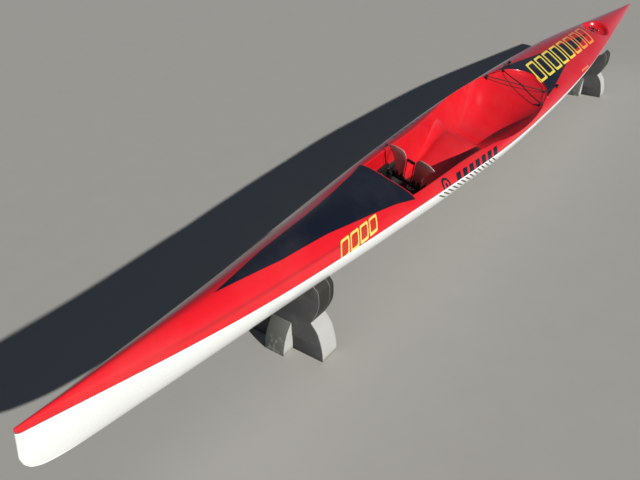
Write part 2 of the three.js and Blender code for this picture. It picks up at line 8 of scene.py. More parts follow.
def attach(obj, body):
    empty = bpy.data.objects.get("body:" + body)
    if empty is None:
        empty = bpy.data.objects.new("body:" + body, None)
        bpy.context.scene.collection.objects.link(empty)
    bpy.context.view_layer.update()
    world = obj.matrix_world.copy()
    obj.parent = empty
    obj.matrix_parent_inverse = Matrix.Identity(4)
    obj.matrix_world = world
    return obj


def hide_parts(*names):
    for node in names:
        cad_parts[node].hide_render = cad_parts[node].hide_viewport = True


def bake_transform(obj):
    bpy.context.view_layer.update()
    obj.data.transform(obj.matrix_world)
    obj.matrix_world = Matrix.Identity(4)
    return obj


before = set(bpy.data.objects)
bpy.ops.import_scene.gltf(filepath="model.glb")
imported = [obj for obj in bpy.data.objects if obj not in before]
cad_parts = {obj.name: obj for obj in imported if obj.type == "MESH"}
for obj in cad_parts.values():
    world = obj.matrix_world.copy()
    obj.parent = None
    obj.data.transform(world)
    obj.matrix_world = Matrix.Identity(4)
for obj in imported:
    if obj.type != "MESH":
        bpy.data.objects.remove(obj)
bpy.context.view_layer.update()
still = "ski_and_stands"  # the body that everything fixed rides on

# Metres. The boat is shaped in its own axes: +X to the bow, +Y to port, +Z up, x = 0 at mid length.
# boatPlace heels it to port and lays it on its stands.
boatFacts = {"heel": math.radians(16.6), "height": 0.2564, "side": -0.0360226, "half": 3.1}
boatPlace = Matrix.Translation((0, boatFacts["side"], boatFacts["height"]))
boatPlace @= Matrix.Rotation(-boatFacts["heel"], 4, "X")

cameraFacts = {
    "at": (3.4829, 1.2679, 1.7826),
    "yaw": -143.7189,
    "pitch": -32.0382,
    "roll": -0.8597,
    "lens": 34.88,
    "sensor": 36,
}

keyLight = {
    "towards": (0.17, 0.863, 0.472),
    "strength": 5.2,
    "spread": 0.9,
    "colour": (1, 0.97, 0.93),
}
sky = {
    "zenith": (0.36, 0.45, 0.61, 1),
    "horizon": (1.5, 1.6, 2.0, 1),
    "bottom": -0.02,
    "top": 0.3,
    "strength": 0.16,
}
floorFacts = {"size": 60, "colour": (0.382, 0.376, 0.35, 1), "darker": 0.93, "rough": 0.85}

# Hull lines, bow to stern. x: station, beam: half beam at the seam, seam: its height, keel: lowest point,
# crown: deck height over the seam, shoulder: how square the deck edge is, full: how full the section is,
# where 2 is round and less is a V
lineColumns = ("x", "beam", "seam", "keel", "crown", "shoulder", "full")
hullLines = (
    (3.1, 0.007, 0.372, 0.25, 0.016, 2.2, 1.3),
    (3.09, 0.009, 0.37, 0.205, 0.018, 2.2, 1.3),
    (3.07, 0.011, 0.367, 0.168, 0.021, 2.2, 1.3),
    (3.03, 0.015, 0.361, 0.136, 0.026, 2.2, 1.3),
    (2.95, 0.024, 0.35, 0.108, 0.034, 2.2, 1.3),
    (2.81, 0.041, 0.333, 0.08, 0.048, 2.2, 1.44),
    (2.6, 0.065, 0.308, 0.066, 0.066, 2.2, 1.77),
    (2.37, 0.091, 0.288, 0.06, 0.08, 2.2, 1.85),
    (2.13, 0.116, 0.277, 0.056, 0.09, 2.2, 1.83),
    (1.87, 0.139, 0.271, 0.052, 0.09, 2.2, 1.91),
    (1.6, 0.161, 0.268, 0.048, 0.07, 2.6, 2.07),
    (1.33, 0.181, 0.265, 0.044, 0.039, 5, 2.2),
    (1.05, 0.2, 0.261, 0.042, 0.041, 4.4, 2.35),
    (0.76, 0.218, 0.255, 0.04, 0.042, 5, 2.3),
    (0.45, 0.234, 0.249, 0.04, 0.044, 9, 2.3),
    (0.13, 0.24, 0.247, 0.04, 0.046, 12, 2.3),
    (-0.2, 0.238, 0.25, 0.041, 0.048, 8, 2.3),
    (-0.52, 0.233, 0.256, 0.043, 0.05, 5, 2.3),
    (-0.85, 0.222, 0.263, 0.045, 0.05, 3, 2.2),
    (-1.2, 0.203, 0.271, 0.047, 0.05, 2.4, 2.1),
    (-1.55, 0.174, 0.278, 0.05, 0.05, 2.2, 2.0),
    (-1.9, 0.139, 0.284, 0.053, 0.048, 2.2, 1.9),
    (-2.25, 0.101, 0.289, 0.065, 0.042, 2.2, 1.8),
    (-2.6, 0.063, 0.293, 0.096, 0.032, 2.2, 1.6),
    (-2.85, 0.034, 0.296, 0.144, 0.022, 2.2, 1.4),
    (-3.02, 0.014, 0.298, 0.192, 0.014, 2.2, 1.3),
    (-3.1, 0.005, 0.298, 0.25, 0.009, 2.2, 1.3),
)

# Cockpit, front wall to the aft deck. x: station, width: half width of the opening, floor: lowest point,
# flat: share of the width before the wall rises, round: how square the wall is, ridge: height of the ramp
# over the floor, spread: its half width
pitColumns = ("x", "width", "floor", "flat", "round", "ridge", "spread")
cockpitLines = (
    (1.3, 0.131, 0.092, 0.5, 1.6, 0, 0.085),
    (1.15, 0.139, 0.088, 0.5, 1.6, 0, 0.085),
    (1, 0.145, 0.086, 0.5, 1.6, 0, 0.085),
    (0.85, 0.15, 0.088, 0.5, 1.6, 0.014, 0.09),
    (0.7, 0.161, 0.098, 0.5, 1.6, 0.048, 0.105),
    (0.58, 0.175, 0.118, 0.5, 1.7, 0.074, 0.13),
    (0.48, 0.19, 0.146, 0.42, 1.9, 0.058, 0.15),
    (0.4, 0.204, 0.138, 0.25, 2.3, 0.03, 0.155),
    (0.3, 0.217, 0.112, 0.1, 2.7, 0.006, 0.155),
    (0.18, 0.224, 0.096, 0, 3, 0, 0.155),
    (0.06, 0.225, 0.1, 0, 3, 0, 0.155),
    (-0.04, 0.221, 0.134, 0, 2.8, 0, 0.155),
    (-0.12, 0.213, 0.194, 0, 2.6, 0, 0.155),
    (-0.2, 0.2, 0.244, 0, 2.4, 0, 0.155),
    (-0.29, 0.182, 0.264, 0, 2.4, 0, 0.155),
    (-0.38, 0.152, 0.276, 0, 2.4, 0, 0.155),
    (-0.45, 0.11, 0.284, 0, 2.4, 0, 0.155),
    (-0.495, 0.048, 0.291, 0, 2.4, 0, 0.155),
)
pit = {"front": 1.3, "back": -0.507, "lip": 0.006, "frontCove": 0.035, "backCove": 0.016}
arc = {"x": -0.2, "long": 0.307, "from": -0.38, "ledge": 0.021, "ledgeHigh": 0.0035}
well = {
    "x": -1.93,
    "fore": 0.2,
    "aft": 0.14,
    "wide": 0.115,
    "deep": 0.038,
    "foreEdge": 0.15,
    "aftEdge": 0.82,
}
seamEdge = 0.003
stemRound = 0.012
knuckle = {"at": 0.8, "power": 1.8, "fade": 1.4, "full": 1.9}
grid = {"nearLip": (0, 0.0003, 0.001, 0.002, 0.0035, 0.006, 0.010), "strip": 24, "tub": 34, "hull": 26}
skin = {"deck": 0.003, "hull": 0.0025}


def along(table, columns, name, x):
    # a smooth value between the rows, by cubic steps with slopes from the neighbouring rows
    k = columns.index(name)
    i = 0
    while i < len(table) - 2 and x < table[i + 1][0]:
        i += 1
    a, b = table[i], table[i + 1]
    before, after = table[max(i - 1, 0)], table[min(i + 2, len(table) - 1)]
    span = b[0] - a[0]
    t = min(max((x - a[0]) / span, 0), 1)
    slopeA = (b[k] - before[k]) / (b[0] - before[0]) * span
    slopeB = (after[k] - a[k]) / (after[0] - a[0]) * span
    return (
        (2 * t**3 - 3 * t**2 + 1) * a[k] + (t**3 - 2 * t**2 + t) * slopeA
        + (3 * t**2 - 2 * t**3) * b[k] + (t**3 - t**2) * slopeB
    )


known = {}  # values worked out before


def line(name, x):
    if (name, x) not in known:
        known[name, x] = along(hullLines, lineColumns, name, x)
    return known[name, x]


def pitLine(name, x):
    if ("pit" + name, x) not in known:
        known["pit" + name, x] = along(cockpitLines, pitColumns, name, x)
    return known["pit" + name, x]


def smooth(low, high, value):
    t = min(max((value - low) / (high - low), 0), 1)
    return t * t * (3 - 2 * t)


def mix(a, b, t):
    return a + (b - a) * t


# The stem and the stern close in a small round, where the stations of the table end flat
def beamAt(x):
    tip = min(max((abs(x) - (boatFacts["half"] - stemRound)) / stemRound, 0), 1)
    return line("beam", x) * math.sqrt(max(1 - tip**2, 0))


def arcReach(x):
    # how wide the arc at the back of the cockpit is, as a share of its widest
    return math.sqrt(max(1 - ((x - arc["x"]) / arc["long"]) ** 2, 0))


def pitWidth(x):
    if x > arc["from"]:
        return pitLine("width", x)
    return pitLine("width", arc["from"]) * arcReach(x) / arcReach(arc["from"])


def wellDrop(x, y):
    # how far the rudder-head recess lies under the deck: a scoop that deepens aft to a steep round end
    ahead = x - well["x"]
    u = ahead / (well["fore"] if ahead > 0 else well["aft"])
    reach = math.hypot(u, y / well["wide"])
    turn = (1 + u / reach) / 2 if reach else 0.5
    return well["deep"] * (1 - smooth(mix(well["aftEdge"], well["foreEdge"], turn), 1, reach))


def deckTop(x, y):
    # the deck's height without its openings, with a soft knuckle along the foredeck
    beam = max(line("beam", x), 1e-4)
    side = min(abs(y) / beam, 1)
    crown = line("crown", x)
    plain = crown * (1 - side ** line("shoulder", x))
    edge = 1 - knuckle["at"] ** line("shoulder", x)
    if side < knuckle["at"]:
        creased = crown * (1 - (1 - edge) * (side / knuckle["at"]) ** knuckle["power"])
    else:
        creased = crown * edge * (1 - side) / (1 - knuckle["at"])
    amount = smooth(knuckle["fade"], knuckle["full"], x)
    return line("seam", x) + seamEdge + mix(plain, creased, amount)


def openingDistance(x, y):
    # distance outwards from the edge of the cockpit opening, for points beside it
    y = abs(y)
    if x > pit["front"]:
        return math.hypot(x - pit["front"], max(y - pitWidth(pit["front"]), 0))
    if x < arc["x"]:
        wide = pitWidth(arc["from"]) / arcReach(arc["from"])
        reach = math.hypot((x - arc["x"]) / arc["long"], y / wide)
        return (1 - 1 / reach) * math.hypot(x - arc["x"], y) if reach else -wide
    return y - pitWidth(x)


def lipDrop(distance):
    # the rounded edge between the deck and the cockpit's walls
    lip = pit["lip"]
    d = min(max(distance, 0), lip)
    return lip - math.sqrt(lip**2 - (lip - d) ** 2)


def deckSkin(x, y):
    return deckTop(x, y) - lipDrop(openingDistance(x, y)) - wellDrop(x, y)


def tubSkin(x, part):
    width = pitWidth(x)
    floor = pitLine("floor", x)
    rim = deckTop(x, width) - pit["lip"]
    y = part * width
    flat = max(pitLine("flat", x), 0)
    wall = max((abs(part) - flat) / (1 - flat), 0) ** pitLine("round", x)
    ridge = max(pitLine("ridge", x), 0) * math.exp(-((y / pitLine("spread", x)) ** 4))
    z = floor + (rim - floor) * wall + ridge
    front = max(1 - (pit["front"] - x) / pit["frontCove"], 0) ** 3
    z = mix(z, deckTop(x, y) - pit["lip"], front)
    if x < arc["x"]:
        # the recess ends in a small moulded ledge and a cove
        inwards = max(-openingDistance(x, y), 0)
        behind = smooth(arc["x"], arc["x"] - 0.08, x)
        ledge = 1 - smooth(arc["ledge"] - 0.002, arc["ledge"] + 0.002, inwards)
        z += arc["ledgeHigh"] * ledge * behind
        z = mix(z, deckTop(x, y) - pit["lip"], max(1 - inwards / pit["backCove"], 0) ** 2 * behind)
    return z


def surfaceAt(x, y):
    if pit["back"] < x < pit["front"] and abs(y) < pitWidth(x):
        return tubSkin(x, y / pitWidth(x))
    return deckSkin(x, y)


# Mesh helpers
upright = (0, 0, 1)


def steps(start, end, spacing):
    count = max(1, math.ceil(abs(end - start) / spacing))
    return [mix(start, end, i / count) for i in range(count)]


def addSheet(bm, across, down, where):
    # a grid of faces, with every vertex moved to where(i, j)
    made = bmesh.ops.create_grid(bm, x_segments=across, y_segments=down, size=0.5)
    for vert in made["verts"]:
        i = round((vert.co.x + 0.5) * across)
        j = round((vert.co.y + 0.5) * down)
        vert.co = where(i, j)
    return made["verts"]


def addBlock(bm, low, high):
    made = bmesh.ops.create_cube(bm, size=1)
    for vert in made["verts"]:
        vert.co = [mix(a, b, c + 0.5) for a, b, c in zip(low, high, vert.co)]
    return made["verts"]


def addRound(bm, profile, foot, axis=upright, sides=28):
    # a turned shape: a profile of (radius, height) pairs, spun round an axis that stands on foot
    turn = Vector(axis).to_track_quat("Z", "X").to_matrix()
    row = [bm.verts.new(Vector(foot) + turn @ Vector((r, 0, h))) for r, h in profile]
    edges = [bm.edges.new(pair) for pair in zip(row, row[1:])]
    way = turn @ Vector((0, 0, 1))
    bmesh.ops.spin(bm, geom=row + edges, cent=foot, axis=way, angle=2 * math.pi, steps=sides, use_merge=True)


def addTube(bm, points, radii, sides=12):
    # a tube along points, its frames carried on without twist
    points = [Vector(p) for p in points]
    ways = []
    for i in range(len(points)):
        way = points[min(i + 1, len(points) - 1)] - points[max(i - 1, 0)]
        ways.append(way.normalized())
    side = ways[0].orthogonal().normalized()
    sideways = []
    for way in ways:
        side = (side - way * side.dot(way)).normalized()
        sideways.append(side)

    def where(i, j):
        angle = 2 * math.pi * j / sides
        up = ways[i].cross(sideways[i])
        return points[i] + (sideways[i] * math.cos(angle) + up * math.sin(angle)) * radii[i]

    if not bm.loops.layers.uv:
        bm.loops.layers.uv.new("UVMap")
    addSheet(bm, len(points) - 1, sides, where)


def closedTube(bm, points, radius, sides=12):
    # a tube with its two ends closed by low domes
    points = [Vector(p) for p in points]
    first = points[0] + (points[0] - points[1]).normalized() * radius * 0.4
    last = points[-1] + (points[-1] - points[-2]).normalized() * radius * 0.4
    ends = [first] + points + [last]
    radii = [0] + [radius] * len(points) + [0]
    addTube(bm, ends, radii, sides)


def curveThrough(points, fine):
    # a smooth line through points, with fine steps between each two
    points = [Vector(p) for p in points]
    found = []
    for i in range(len(points) - 1):
        a, b = points[i], points[i + 1]
        before = points[i - 1] if i else a * 2 - b
        after = points[i + 2] if i + 2 < len(points) else b * 2 - a
        for k in range(fine):
            t = k / fine
            found.append(
                0.5 * (2 * a + (b - before) * t + (2 * before - 5 * a + 4 * b - after) * t**2
                       + (3 * a - before - 3 * b + after) * t**3)
            )
    return found + [points[-1]]


def closeEnds(bm):
    bmesh.ops.remove_doubles(bm, verts=bm.verts, dist=1e-6)
    bmesh.ops.holes_fill(bm, edges=[e for e in bm.edges if e.is_boundary], sides=0)
    bmesh.ops.recalc_face_normals(bm, faces=bm.faces)


def bevelEdges(bm, edges, offset, segments=2, slot=-1):
    bmesh.ops.bevel(
        bm, geom=list(edges), offset=offset, segments=segments, profile=0.5, affect="EDGES", material=slot
    )


def addObject(name, data):
    made = bpy.data.objects.new(name, data)
    bpy.context.scene.collection.objects.link(made)
    return made


def finishPiece(bm, name, body, slot, *materials, replaced=(), where=boatPlace, shade=True, outward=True):
    # where lays the piece from the boat's axes on the ground's
    bmesh.ops.remove_doubles(bm, verts=bm.verts, dist=1e-5)
    bmesh.ops.dissolve_degenerate(bm, edges=bm.edges, dist=1e-5)
    if outward:
        bmesh.ops.recalc_face_normals(bm, faces=bm.faces)
    bmesh.ops.transform(bm, matrix=where, verts=bm.verts)
    mesh = bpy.data.meshes.new(name)
    bm.to_mesh(mesh)
    bm.free()
    piece = addObject(name, mesh)
    mesh.shade_smooth() if shade else mesh.shade_flat()
    if body:
        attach(piece, body)
    if replaced:
        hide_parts(*replaced)
    for material in materials:
        mesh.materials.append(material)
    return piece


def turnedPiece(name, body, slot, material, profile, spots, sides=28, replaced=()):
    # one turned shape on every spot, which is a foot and the way it points
    bm = bmesh.new()
    for foot, axis in spots:
        addRound(bm, profile, foot, axis, sides)
    return finishPiece(bm, name, body, slot, material, replaced=replaced)


def screwHead(radius, sunk, rim):
    # a profile with a chamfered top
    return [(0, -sunk), (radius, -sunk), (radius, rim), (radius - 0.001, rim + 0.0008), (0, rim + 0.001)]


def addModifier(piece, kind, **settings):
    modifier = piece.modifiers.new(kind.title(), kind)
    for name, value in settings.items():
        setattr(modifier, name, value)


def soften(piece, width, angle=35, segments=2):
    # rounded edges with flat faces left flat
    limit = math.radians(angle)
    addModifier(
        piece, "BEVEL", width=width, segments=segments, limit_method="ANGLE", angle_limit=limit,
        harden_normals=True,
    )


def sharpen(piece, degrees):
    piece.data.set_sharp_from_angle(angle=math.radians(degrees))


def mirrorHalf(bm):
    bmesh.ops.mirror(bm, geom=bm.verts[:] + bm.edges[:] + bm.faces[:], axis="Y", merge_dist=1e-5)


# Hull and deck
def makeStations():
    # closer where the surface turns: the tips, the cockpit's ends and the rudder-head recess
    found = [3.1, 3.0997, 3.0988, 3.0972, 3.095, 3.091, 3.085, 3.077]
    found += steps(3.068, 2.9, 0.014) + steps(2.9, 1.36, 0.024) + steps(1.36, 1.312, 0.008)
    found += [1.312, 1.308, 1.3055, 1.3035, 1.302, 1.3008]
    found += [1.3, 1.2997, 1.299, 1.298, 1.2965, 1.2945, 1.292, 1.289, 1.285, 1.28, 1.274, 1.268]
    found += steps(1.262, 1.2, 0.015) + steps(1.2, 0.9, 0.025) + steps(0.9, -0.46, 0.014)
    found += steps(-0.46, -0.507, 0.0026) + [-0.507, -0.5074, -0.5085, -0.5105, -0.5135, -0.518, -0.525]
    found += steps(-0.54, -1.76, 0.024) + steps(-1.76, -2.1, 0.0058) + steps(-2.1, -3.0, 0.022)
    found += steps(-3.0, -3.085, 0.012) + [-3.085, -3.091, -3.095, -3.0975, -3.0992, -3.1]
    return found


stations = makeStations()
frontAt, backAt = stations.index(pit["front"]), stations.index(pit["back"])


def innerEdge(x):
    # where the deck's side strip begins: at the opening, and on a line ahead of it
    if x >= pit["front"]:
        return pitWidth(pit["front"]) * beamAt(x) / beamAt(pit["front"])
    return pitWidth(x) if x > pit["back"] else 0


def stripPoint(i, j):
    x = stations[i]
    inner, beam = innerEdge(x), beamAt(x)
    room = beam - inner
    near = [k * min(1, room / 0.05) for k in grid["nearLip"]]
    count = grid["strip"] - len(near)
    if j < len(near):
        y = inner + near[j]
    elif j <= grid["strip"]:
        t = math.sin(math.pi / 2 * (j - len(near) + 1) / (count + 1))
        y = inner + near[-1] + (room - near[-1]) * t
    else:
        return Vector((x, beam, line("seam", x) + 0.0003))
    return Vector((x, y, deckSkin(x, y)))


def foredeckPoint(i, j):
    x = stations[i]
    y = innerEdge(x) * math.sin(math.pi / 2 * j / grid["tub"])
    return Vector((x, y, deckSkin(x, y)))


def tubPoint(i, j):
    x = stations[frontAt + i]
    part = math.sin(math.pi / 2 * j / grid["tub"])
    return Vector((x, part * pitWidth(x), tubSkin(x, part)))


def makeDeck():
    bm = bmesh.new()
    addSheet(bm, len(stations) - 1, grid["strip"] + 1, stripPoint)
    addSheet(bm, frontAt, grid["tub"], foredeckPoint)
    addSheet(bm, backAt - frontAt, grid["tub"], tubPoint)
    mirrorHalf(bm)
    parts = ["deck_fore", "deck_cockpit", "deck_aft"]
    piece = finishPiece(bm, "deckShell", still, "deck_red", redGelcoat, replaced=parts)
    addModifier(piece, "SOLIDIFY", thickness=skin["deck"], offset=-1, use_rim=True)


def hullPoint(i, j):
    x = stations[i]
    beam, seam, keel = beamAt(x), line("seam", x), line("keel", x)
    angle = math.pi / 2 * j / grid["hull"]
    power = 2 / line("full", x)
    across = max(math.cos(angle), 0) ** power
    return Vector((x, beam * across, seam - (seam - keel) * math.sin(angle) ** power))


def makeHull():
    bm = bmesh.new()
    addSheet(bm, len(stations) - 1, grid["hull"], hullPoint)
    mirrorHalf(bm)
    piece = finishPiece(bm, "hullShell", still, "hull_white", whiteGelcoat, replaced=["hull"])
    addModifier(piece, "SOLIDIFY", thickness=skin["hull"], offset=-1, use_rim=True)


# Materials
def newMaterial(name):
    material = bpy.data.materials.new(name)
    material.use_nodes = True
    tree = material.node_tree
    return material, tree, tree.nodes["Principled BSDF"]


def addNode(tree, kind, inputs=(), **settings):
    node = tree.nodes.new("ShaderNode" + kind)
    for name, value in settings.items():
        setattr(node, name, value)
    for socket, value in dict(inputs).items():
        if isinstance(value, bpy.types.NodeSocket):
            tree.links.new(value, node.inputs[socket])
        else:
            node.inputs[socket].default_value = value
    return node


def sums(tree, operation, a, b=0.0, c=0.0):
    return addNode(tree, "Math", {0: a, 1: b, 2: c}, operation=operation).outputs[0]


def blendColours(tree, amount, low, high):
    made = addNode(tree, "Mix", data_type="RGBA")
    for socket, value in ((made.inputs[0], amount), (made.inputs[6], low), (made.inputs[7], high)):
        if isinstance(value, bpy.types.NodeSocket):
            tree.links.new(value, socket)
        else:
            socket.default_value = value
    return made.outputs[2]


def boatCoordinates(tree):
    # Object coordinates turned back into the boat's own axes
    back = boatPlace.inverted()
    mapping = addNode(tree, "Mapping", {
        "Vector": addNode(tree, "TexCoord").outputs["Object"],
        "Location": back.to_translation(),
        "Rotation": back.to_euler(),
    })
    return mapping.outputs[0]


def linearColour(*shown):
    # a colour as it shows on a screen, 0 to 255, made linear
    def one(c):
        c /= 255
        return c / 12.92 if c <= 0.04045 else ((c + 0.055) / 1.055) ** 2.4
    return tuple(one(c) for c in shown) + (1,)


def lighterBy(shown, step):
    return linearColour(*[min(c + step, 255) for c in shown])


def addNoise(tree, coordinates, scale, detail, rough=0.5):
    facts = {"Vector": coordinates, "Scale": scale, "Detail": detail, "Roughness": rough}
    return addNode(tree, "TexNoise", facts).outputs[0]


def ramped(tree, value, start, end, high=1.0):
    # 0 at start, high at end, straight between and held outside
    return addNode(tree, "MapRange", {"Value": value, 1: start, 2: end, 3: 0.0, 4: high}).outputs[0]


def coverShader(tree, shader, colour, rough, height, strength, distance):
    bump = addNode(tree, "Bump", {"Height": height, "Strength": strength, "Distance": distance})
    tree.links.new(colour, shader.inputs["Base Color"])
    tree.links.new(bump.outputs[0], shader.inputs["Normal"])
    if isinstance(rough, bpy.types.NodeSocket):
        tree.links.new(rough, shader.inputs["Roughness"])
    else:
        shader.inputs["Roughness"].default_value = rough


def addGelcoat(tree, shader, facts, colour, coordinates):
    # a clear glossy coat with a faint ripple, a fine grain and dust
    ripple = addNoise(tree, coordinates, 9.0, 2.0)
    grain = addNoise(tree, coordinates, 260.0, 4.0)
    worn = ramped(tree, addNoise(tree, coordinates, 3.1, 6.0, 0.62), 0.45, 0.75)
    height = sums(tree, "ADD", ripple, sums(tree, "MULTIPLY", grain, facts["grain"]))
    rough = sums(tree, "ADD", facts["rough"], sums(tree, "MULTIPLY", worn, facts["wear"]))
    dusty = sums(tree, "MULTIPLY", worn, facts["dust"])
    colour = blendColours(tree, dusty, colour, linearColour(190, 182, 170))
    coverShader(tree, shader, colour, rough, height, facts["bump"], 0.004)
    shader.inputs["Coat Weight"].default_value = facts["coat"]
    shader.inputs["Coat Roughness"].default_value = 0.025
    shader.inputs["Specular IOR Level"].default_value = 0.5


def rampOf(tree, value, low, high, stops, scale):
    # a curve y(x) by straight pieces: stops are (x, y), x from low to high, y up to scale
    ramp = addNode(tree, "ValToRGB", {"Fac": ramped(tree, value, low, high)})
    points = sorted(((x - low) / (high - low), y / scale) for x, y in stops)
    for n, (at, level) in enumerate(points):
        element = ramp.color_ramp.elements[n] if n < 2 else ramp.color_ramp.elements.new(at)
        element.position = at
        element.color = (level, level, level, 1)
    return sums(tree, "MULTIPLY", ramp.outputs[0], scale)


def slantedBars(tree, x, y, facts):
    # masks for a row of slanted bars with rounded corners: the bars, and the line round them
    across = sums(tree, "SUBTRACT", y, facts["middle"])
    leaned = sums(tree, "SUBTRACT", x, sums(tree, "MULTIPLY", across, facts["slant"]))
    turn = sums(tree, "DIVIDE", sums(tree, "SUBTRACT", leaned, facts["start"]), facts["period"])
    started, before = sums(tree, "GREATER_THAN", turn, 0.0), sums(tree, "LESS_THAN", turn, facts["count"])
    row = sums(tree, "MULTIPLY", started, before)
    off = sums(tree, "ABSOLUTE", sums(tree, "SUBTRACT", sums(tree, "FRACT", turn), 0.5))
    side = sums(tree, "SUBTRACT", sums(tree, "MULTIPLY", off, facts["period"]), facts["width"] / 2)
    end = sums(tree, "SUBTRACT", sums(tree, "ABSOLUTE", across), facts["half"])
    depth = sums(tree, "SMOOTH_MAX", side, end, facts["round"])
    bars = sums(tree, "MULTIPLY", sums(tree, "LESS_THAN", depth, 0.0), row)
    edge = sums(tree, "LESS_THAN", sums(tree, "ABSOLUTE", depth), facts["edge"] / 2)
    return bars, sums(tree, "MULTIPLY", edge, row)


deckPaint = {
    "red": linearColour(200, 20, 31),
    "navy": linearColour(12, 16, 30),
    "fore": {"from": 1.309, "to": 2.42},
    "foreEdge": ((1.309, 0.153), (1.43, 0.123), (1.6, 0.096), (1.87, 0.06), (2.13, 0.04), (2.42, 0)),
    "aft": {"from": -0.2, "to": -1.66, "long": 0.31, "wide": 0.193},
    "aftEdge": ((-0.2, 0.193), (-0.45, 0.17), (-0.64, 0.14), (-0.85, 0.104), (-0.96, 0.09), (-1.66, 0)),
    "yellow": linearColour(250, 226, 84),
    "orange": linearColour(244, 150, 62),
    "amber": linearColour(176, 44, 20),
    "straw": linearColour(244, 196, 100),
    # the crease entry and the shade colour paint a line of shade along the foredeck's knuckle
    "creaseShade": {
        "share": 0.8, "from": 1.45, "to": 2.78, "fade": 0.3, "inner": 0.001, "outer": 0.0065, "amount": 0.38,
    },
    "shade": linearColour(112, 10, 20),
}
deckCoat = {"rough": 0.2, "wear": 0.1, "dust": 0.03, "bump": 0.12, "grain": 0.012, "coat": 0.9}
hullCoat = {"rough": 0.22, "wear": 0.14, "dust": 0.04, "bump": 0.08, "grain": 0.012, "coat": 0.6}
# Rows of plain slanted bars in the paint. middle: how far the row lies from the boat's middle line, or over
# its base line on the hull, half: half a bar's length, edge: the line round it
aftBars = {
    "start": -1.69, "period": 0.147, "count": 8.0, "width": 0.1, "middle": 0.0, "half": 0.078,
    "slant": 0.76, "round": 0.02, "edge": 0.018,
}
foreBars = {
    "start": 1.592, "period": 0.066, "count": 4.0, "width": 0.05, "middle": 0.126, "half": 0.02,
    "slant": 0.8, "round": 0.012, "edge": 0.0075,
}
sideBars = {
    "start": 0.515, "period": 0.066, "count": 7.0, "width": 0.043, "middle": 0.2624, "half": 0.0275,
    "slant": 0.72, "round": 0.006, "edge": 0.002,
}
sideSlope = -0.0607  # how the row beside the cockpit closes in towards the bow
sideRing = {"x": 1.058, "y": 0.19, "radius": 0.028, "line": 0.013, "dot": 0.009}
edgeBars = {
    "start": -1.19, "period": 0.026, "count": 6.0, "width": 0.016, "middle": 0.193, "half": 0.006,
    "slant": 0.6, "round": 0.002, "edge": 0.002,
}
hullBars = {
    "start": 0.5, "period": 0.042, "count": 14.0, "width": 0.016, "middle": 0.213, "half": 0.034,
    "slant": 1.7, "round": 0.004, "edge": 0.002,
}


def navyMask(tree, x, y):
    # the foredeck panel and the swallow-tail panel behind the cockpit
    fore, aft = deckPaint["fore"], deckPaint["aft"]
    foreEdge = rampOf(tree, x, fore["from"], fore["to"], deckPaint["foreEdge"], 0.16)
    ahead = sums(tree, "GREATER_THAN", x, fore["from"])
    inFore = sums(tree, "MULTIPLY", sums(tree, "LESS_THAN", y, foreEdge), ahead)
    aftEdge = rampOf(tree, x, aft["to"], aft["from"], deckPaint["aftEdge"], 0.2)
    alongArc = sums(tree, "DIVIDE", sums(tree, "SUBTRACT", x, arc["x"]), aft["long"])
    acrossArc = sums(tree, "DIVIDE", y, aft["wide"])
    radius = sums(tree, "ADD", sums(tree, "POWER", alongArc, 2.0), sums(tree, "POWER", acrossArc, 2.0))
    inAft = sums(tree, "LESS_THAN", x, aft["from"])
    for inside in (sums(tree, "LESS_THAN", y, aftEdge), sums(tree, "GREATER_THAN", radius, 1.0)):
        inAft = sums(tree, "MULTIPLY", inAft, inside)
    return sums(tree, "MAXIMUM", inFore, inAft)


def paintedCreaseShadeMask(tree, x, y):
    # painted shade: a soft dark line along the foredeck's knuckle, where the real crease turns away from the
    # light
    facts = deckPaint["creaseShade"]
    low, high = facts["from"], facts["to"]
    stops = [(at, line("beam", at) * facts["share"]) for at in steps(low, high, 0.15) + [high]]
    off = sums(tree, "ABSOLUTE", sums(tree, "SUBTRACT", y, rampOf(tree, x, low, high, stops, 0.16)))
    mark = ramped(tree, off, facts["outer"], facts["inner"], facts["amount"])
    starting = ramped(tree, x, low, low + facts["fade"])
    ending = ramped(tree, x, high, high - facts["fade"])
    return sums(tree, "MULTIPLY", mark, sums(tree, "MULTIPLY", starting, ending))


def makeDeckPaint():
    material, tree, shader = newMaterial("redGelcoat")
    coordinates = boatCoordinates(tree)
    split = addNode(tree, "SeparateXYZ", {0: coordinates})
    x, across = split.outputs[0], split.outputs[1]
    y = sums(tree, "ABSOLUTE", across)
    # painted shade along the foredeck's knuckle, blended into the red
    red = blendColours(tree, paintedCreaseShadeMask(tree, x, y), deckPaint["red"], deckPaint["shade"])
    colour = blendColours(tree, navyMask(tree, x, y), red, deckPaint["navy"])
    # the aft bars' line goes from yellow to orange
    edge = slantedBars(tree, x, across, aftBars)[1]
    lineColour = blendColours(tree, ramped(tree, x, -1.05, -1.45), deckPaint["yellow"], deckPaint["orange"])
    colour = blendColours(tree, edge, colour, lineColour)
    bars, edge = slantedBars(tree, x, across, foreBars)
    colour = blendColours(tree, bars, colour, deckPaint["amber"])
    colour = blendColours(tree, edge, colour, deckPaint["straw"])
    middle = sums(tree, "MULTIPLY_ADD", x, sideSlope, sideBars["middle"])
    bars = slantedBars(tree, x, y, {**sideBars, "middle": middle})[0]
    dx, dy = sums(tree, "SUBTRACT", x, sideRing["x"]), sums(tree, "SUBTRACT", y, sideRing["y"])
    reach = sums(tree, "SQRT", sums(tree, "ADD", sums(tree, "POWER", dx, 2.0), sums(tree, "POWER", dy, 2.0)))
    off = sums(tree, "ABSOLUTE", sums(tree, "SUBTRACT", reach, sideRing["radius"]))
    ring = sums(tree, "LESS_THAN", off, sideRing["line"] / 2)
    ring = sums(tree, "MAXIMUM", ring, sums(tree, "LESS_THAN", reach, sideRing["dot"]))
    colour = blendColours(tree, sums(tree, "MAXIMUM", bars, ring), colour, deckPaint["navy"])
    colour = blendColours(tree, slantedBars(tree, x, y, edgeBars)[0], colour, deckPaint["orange"])
    addGelcoat(tree, shader, deckCoat, colour, coordinates)
    return material


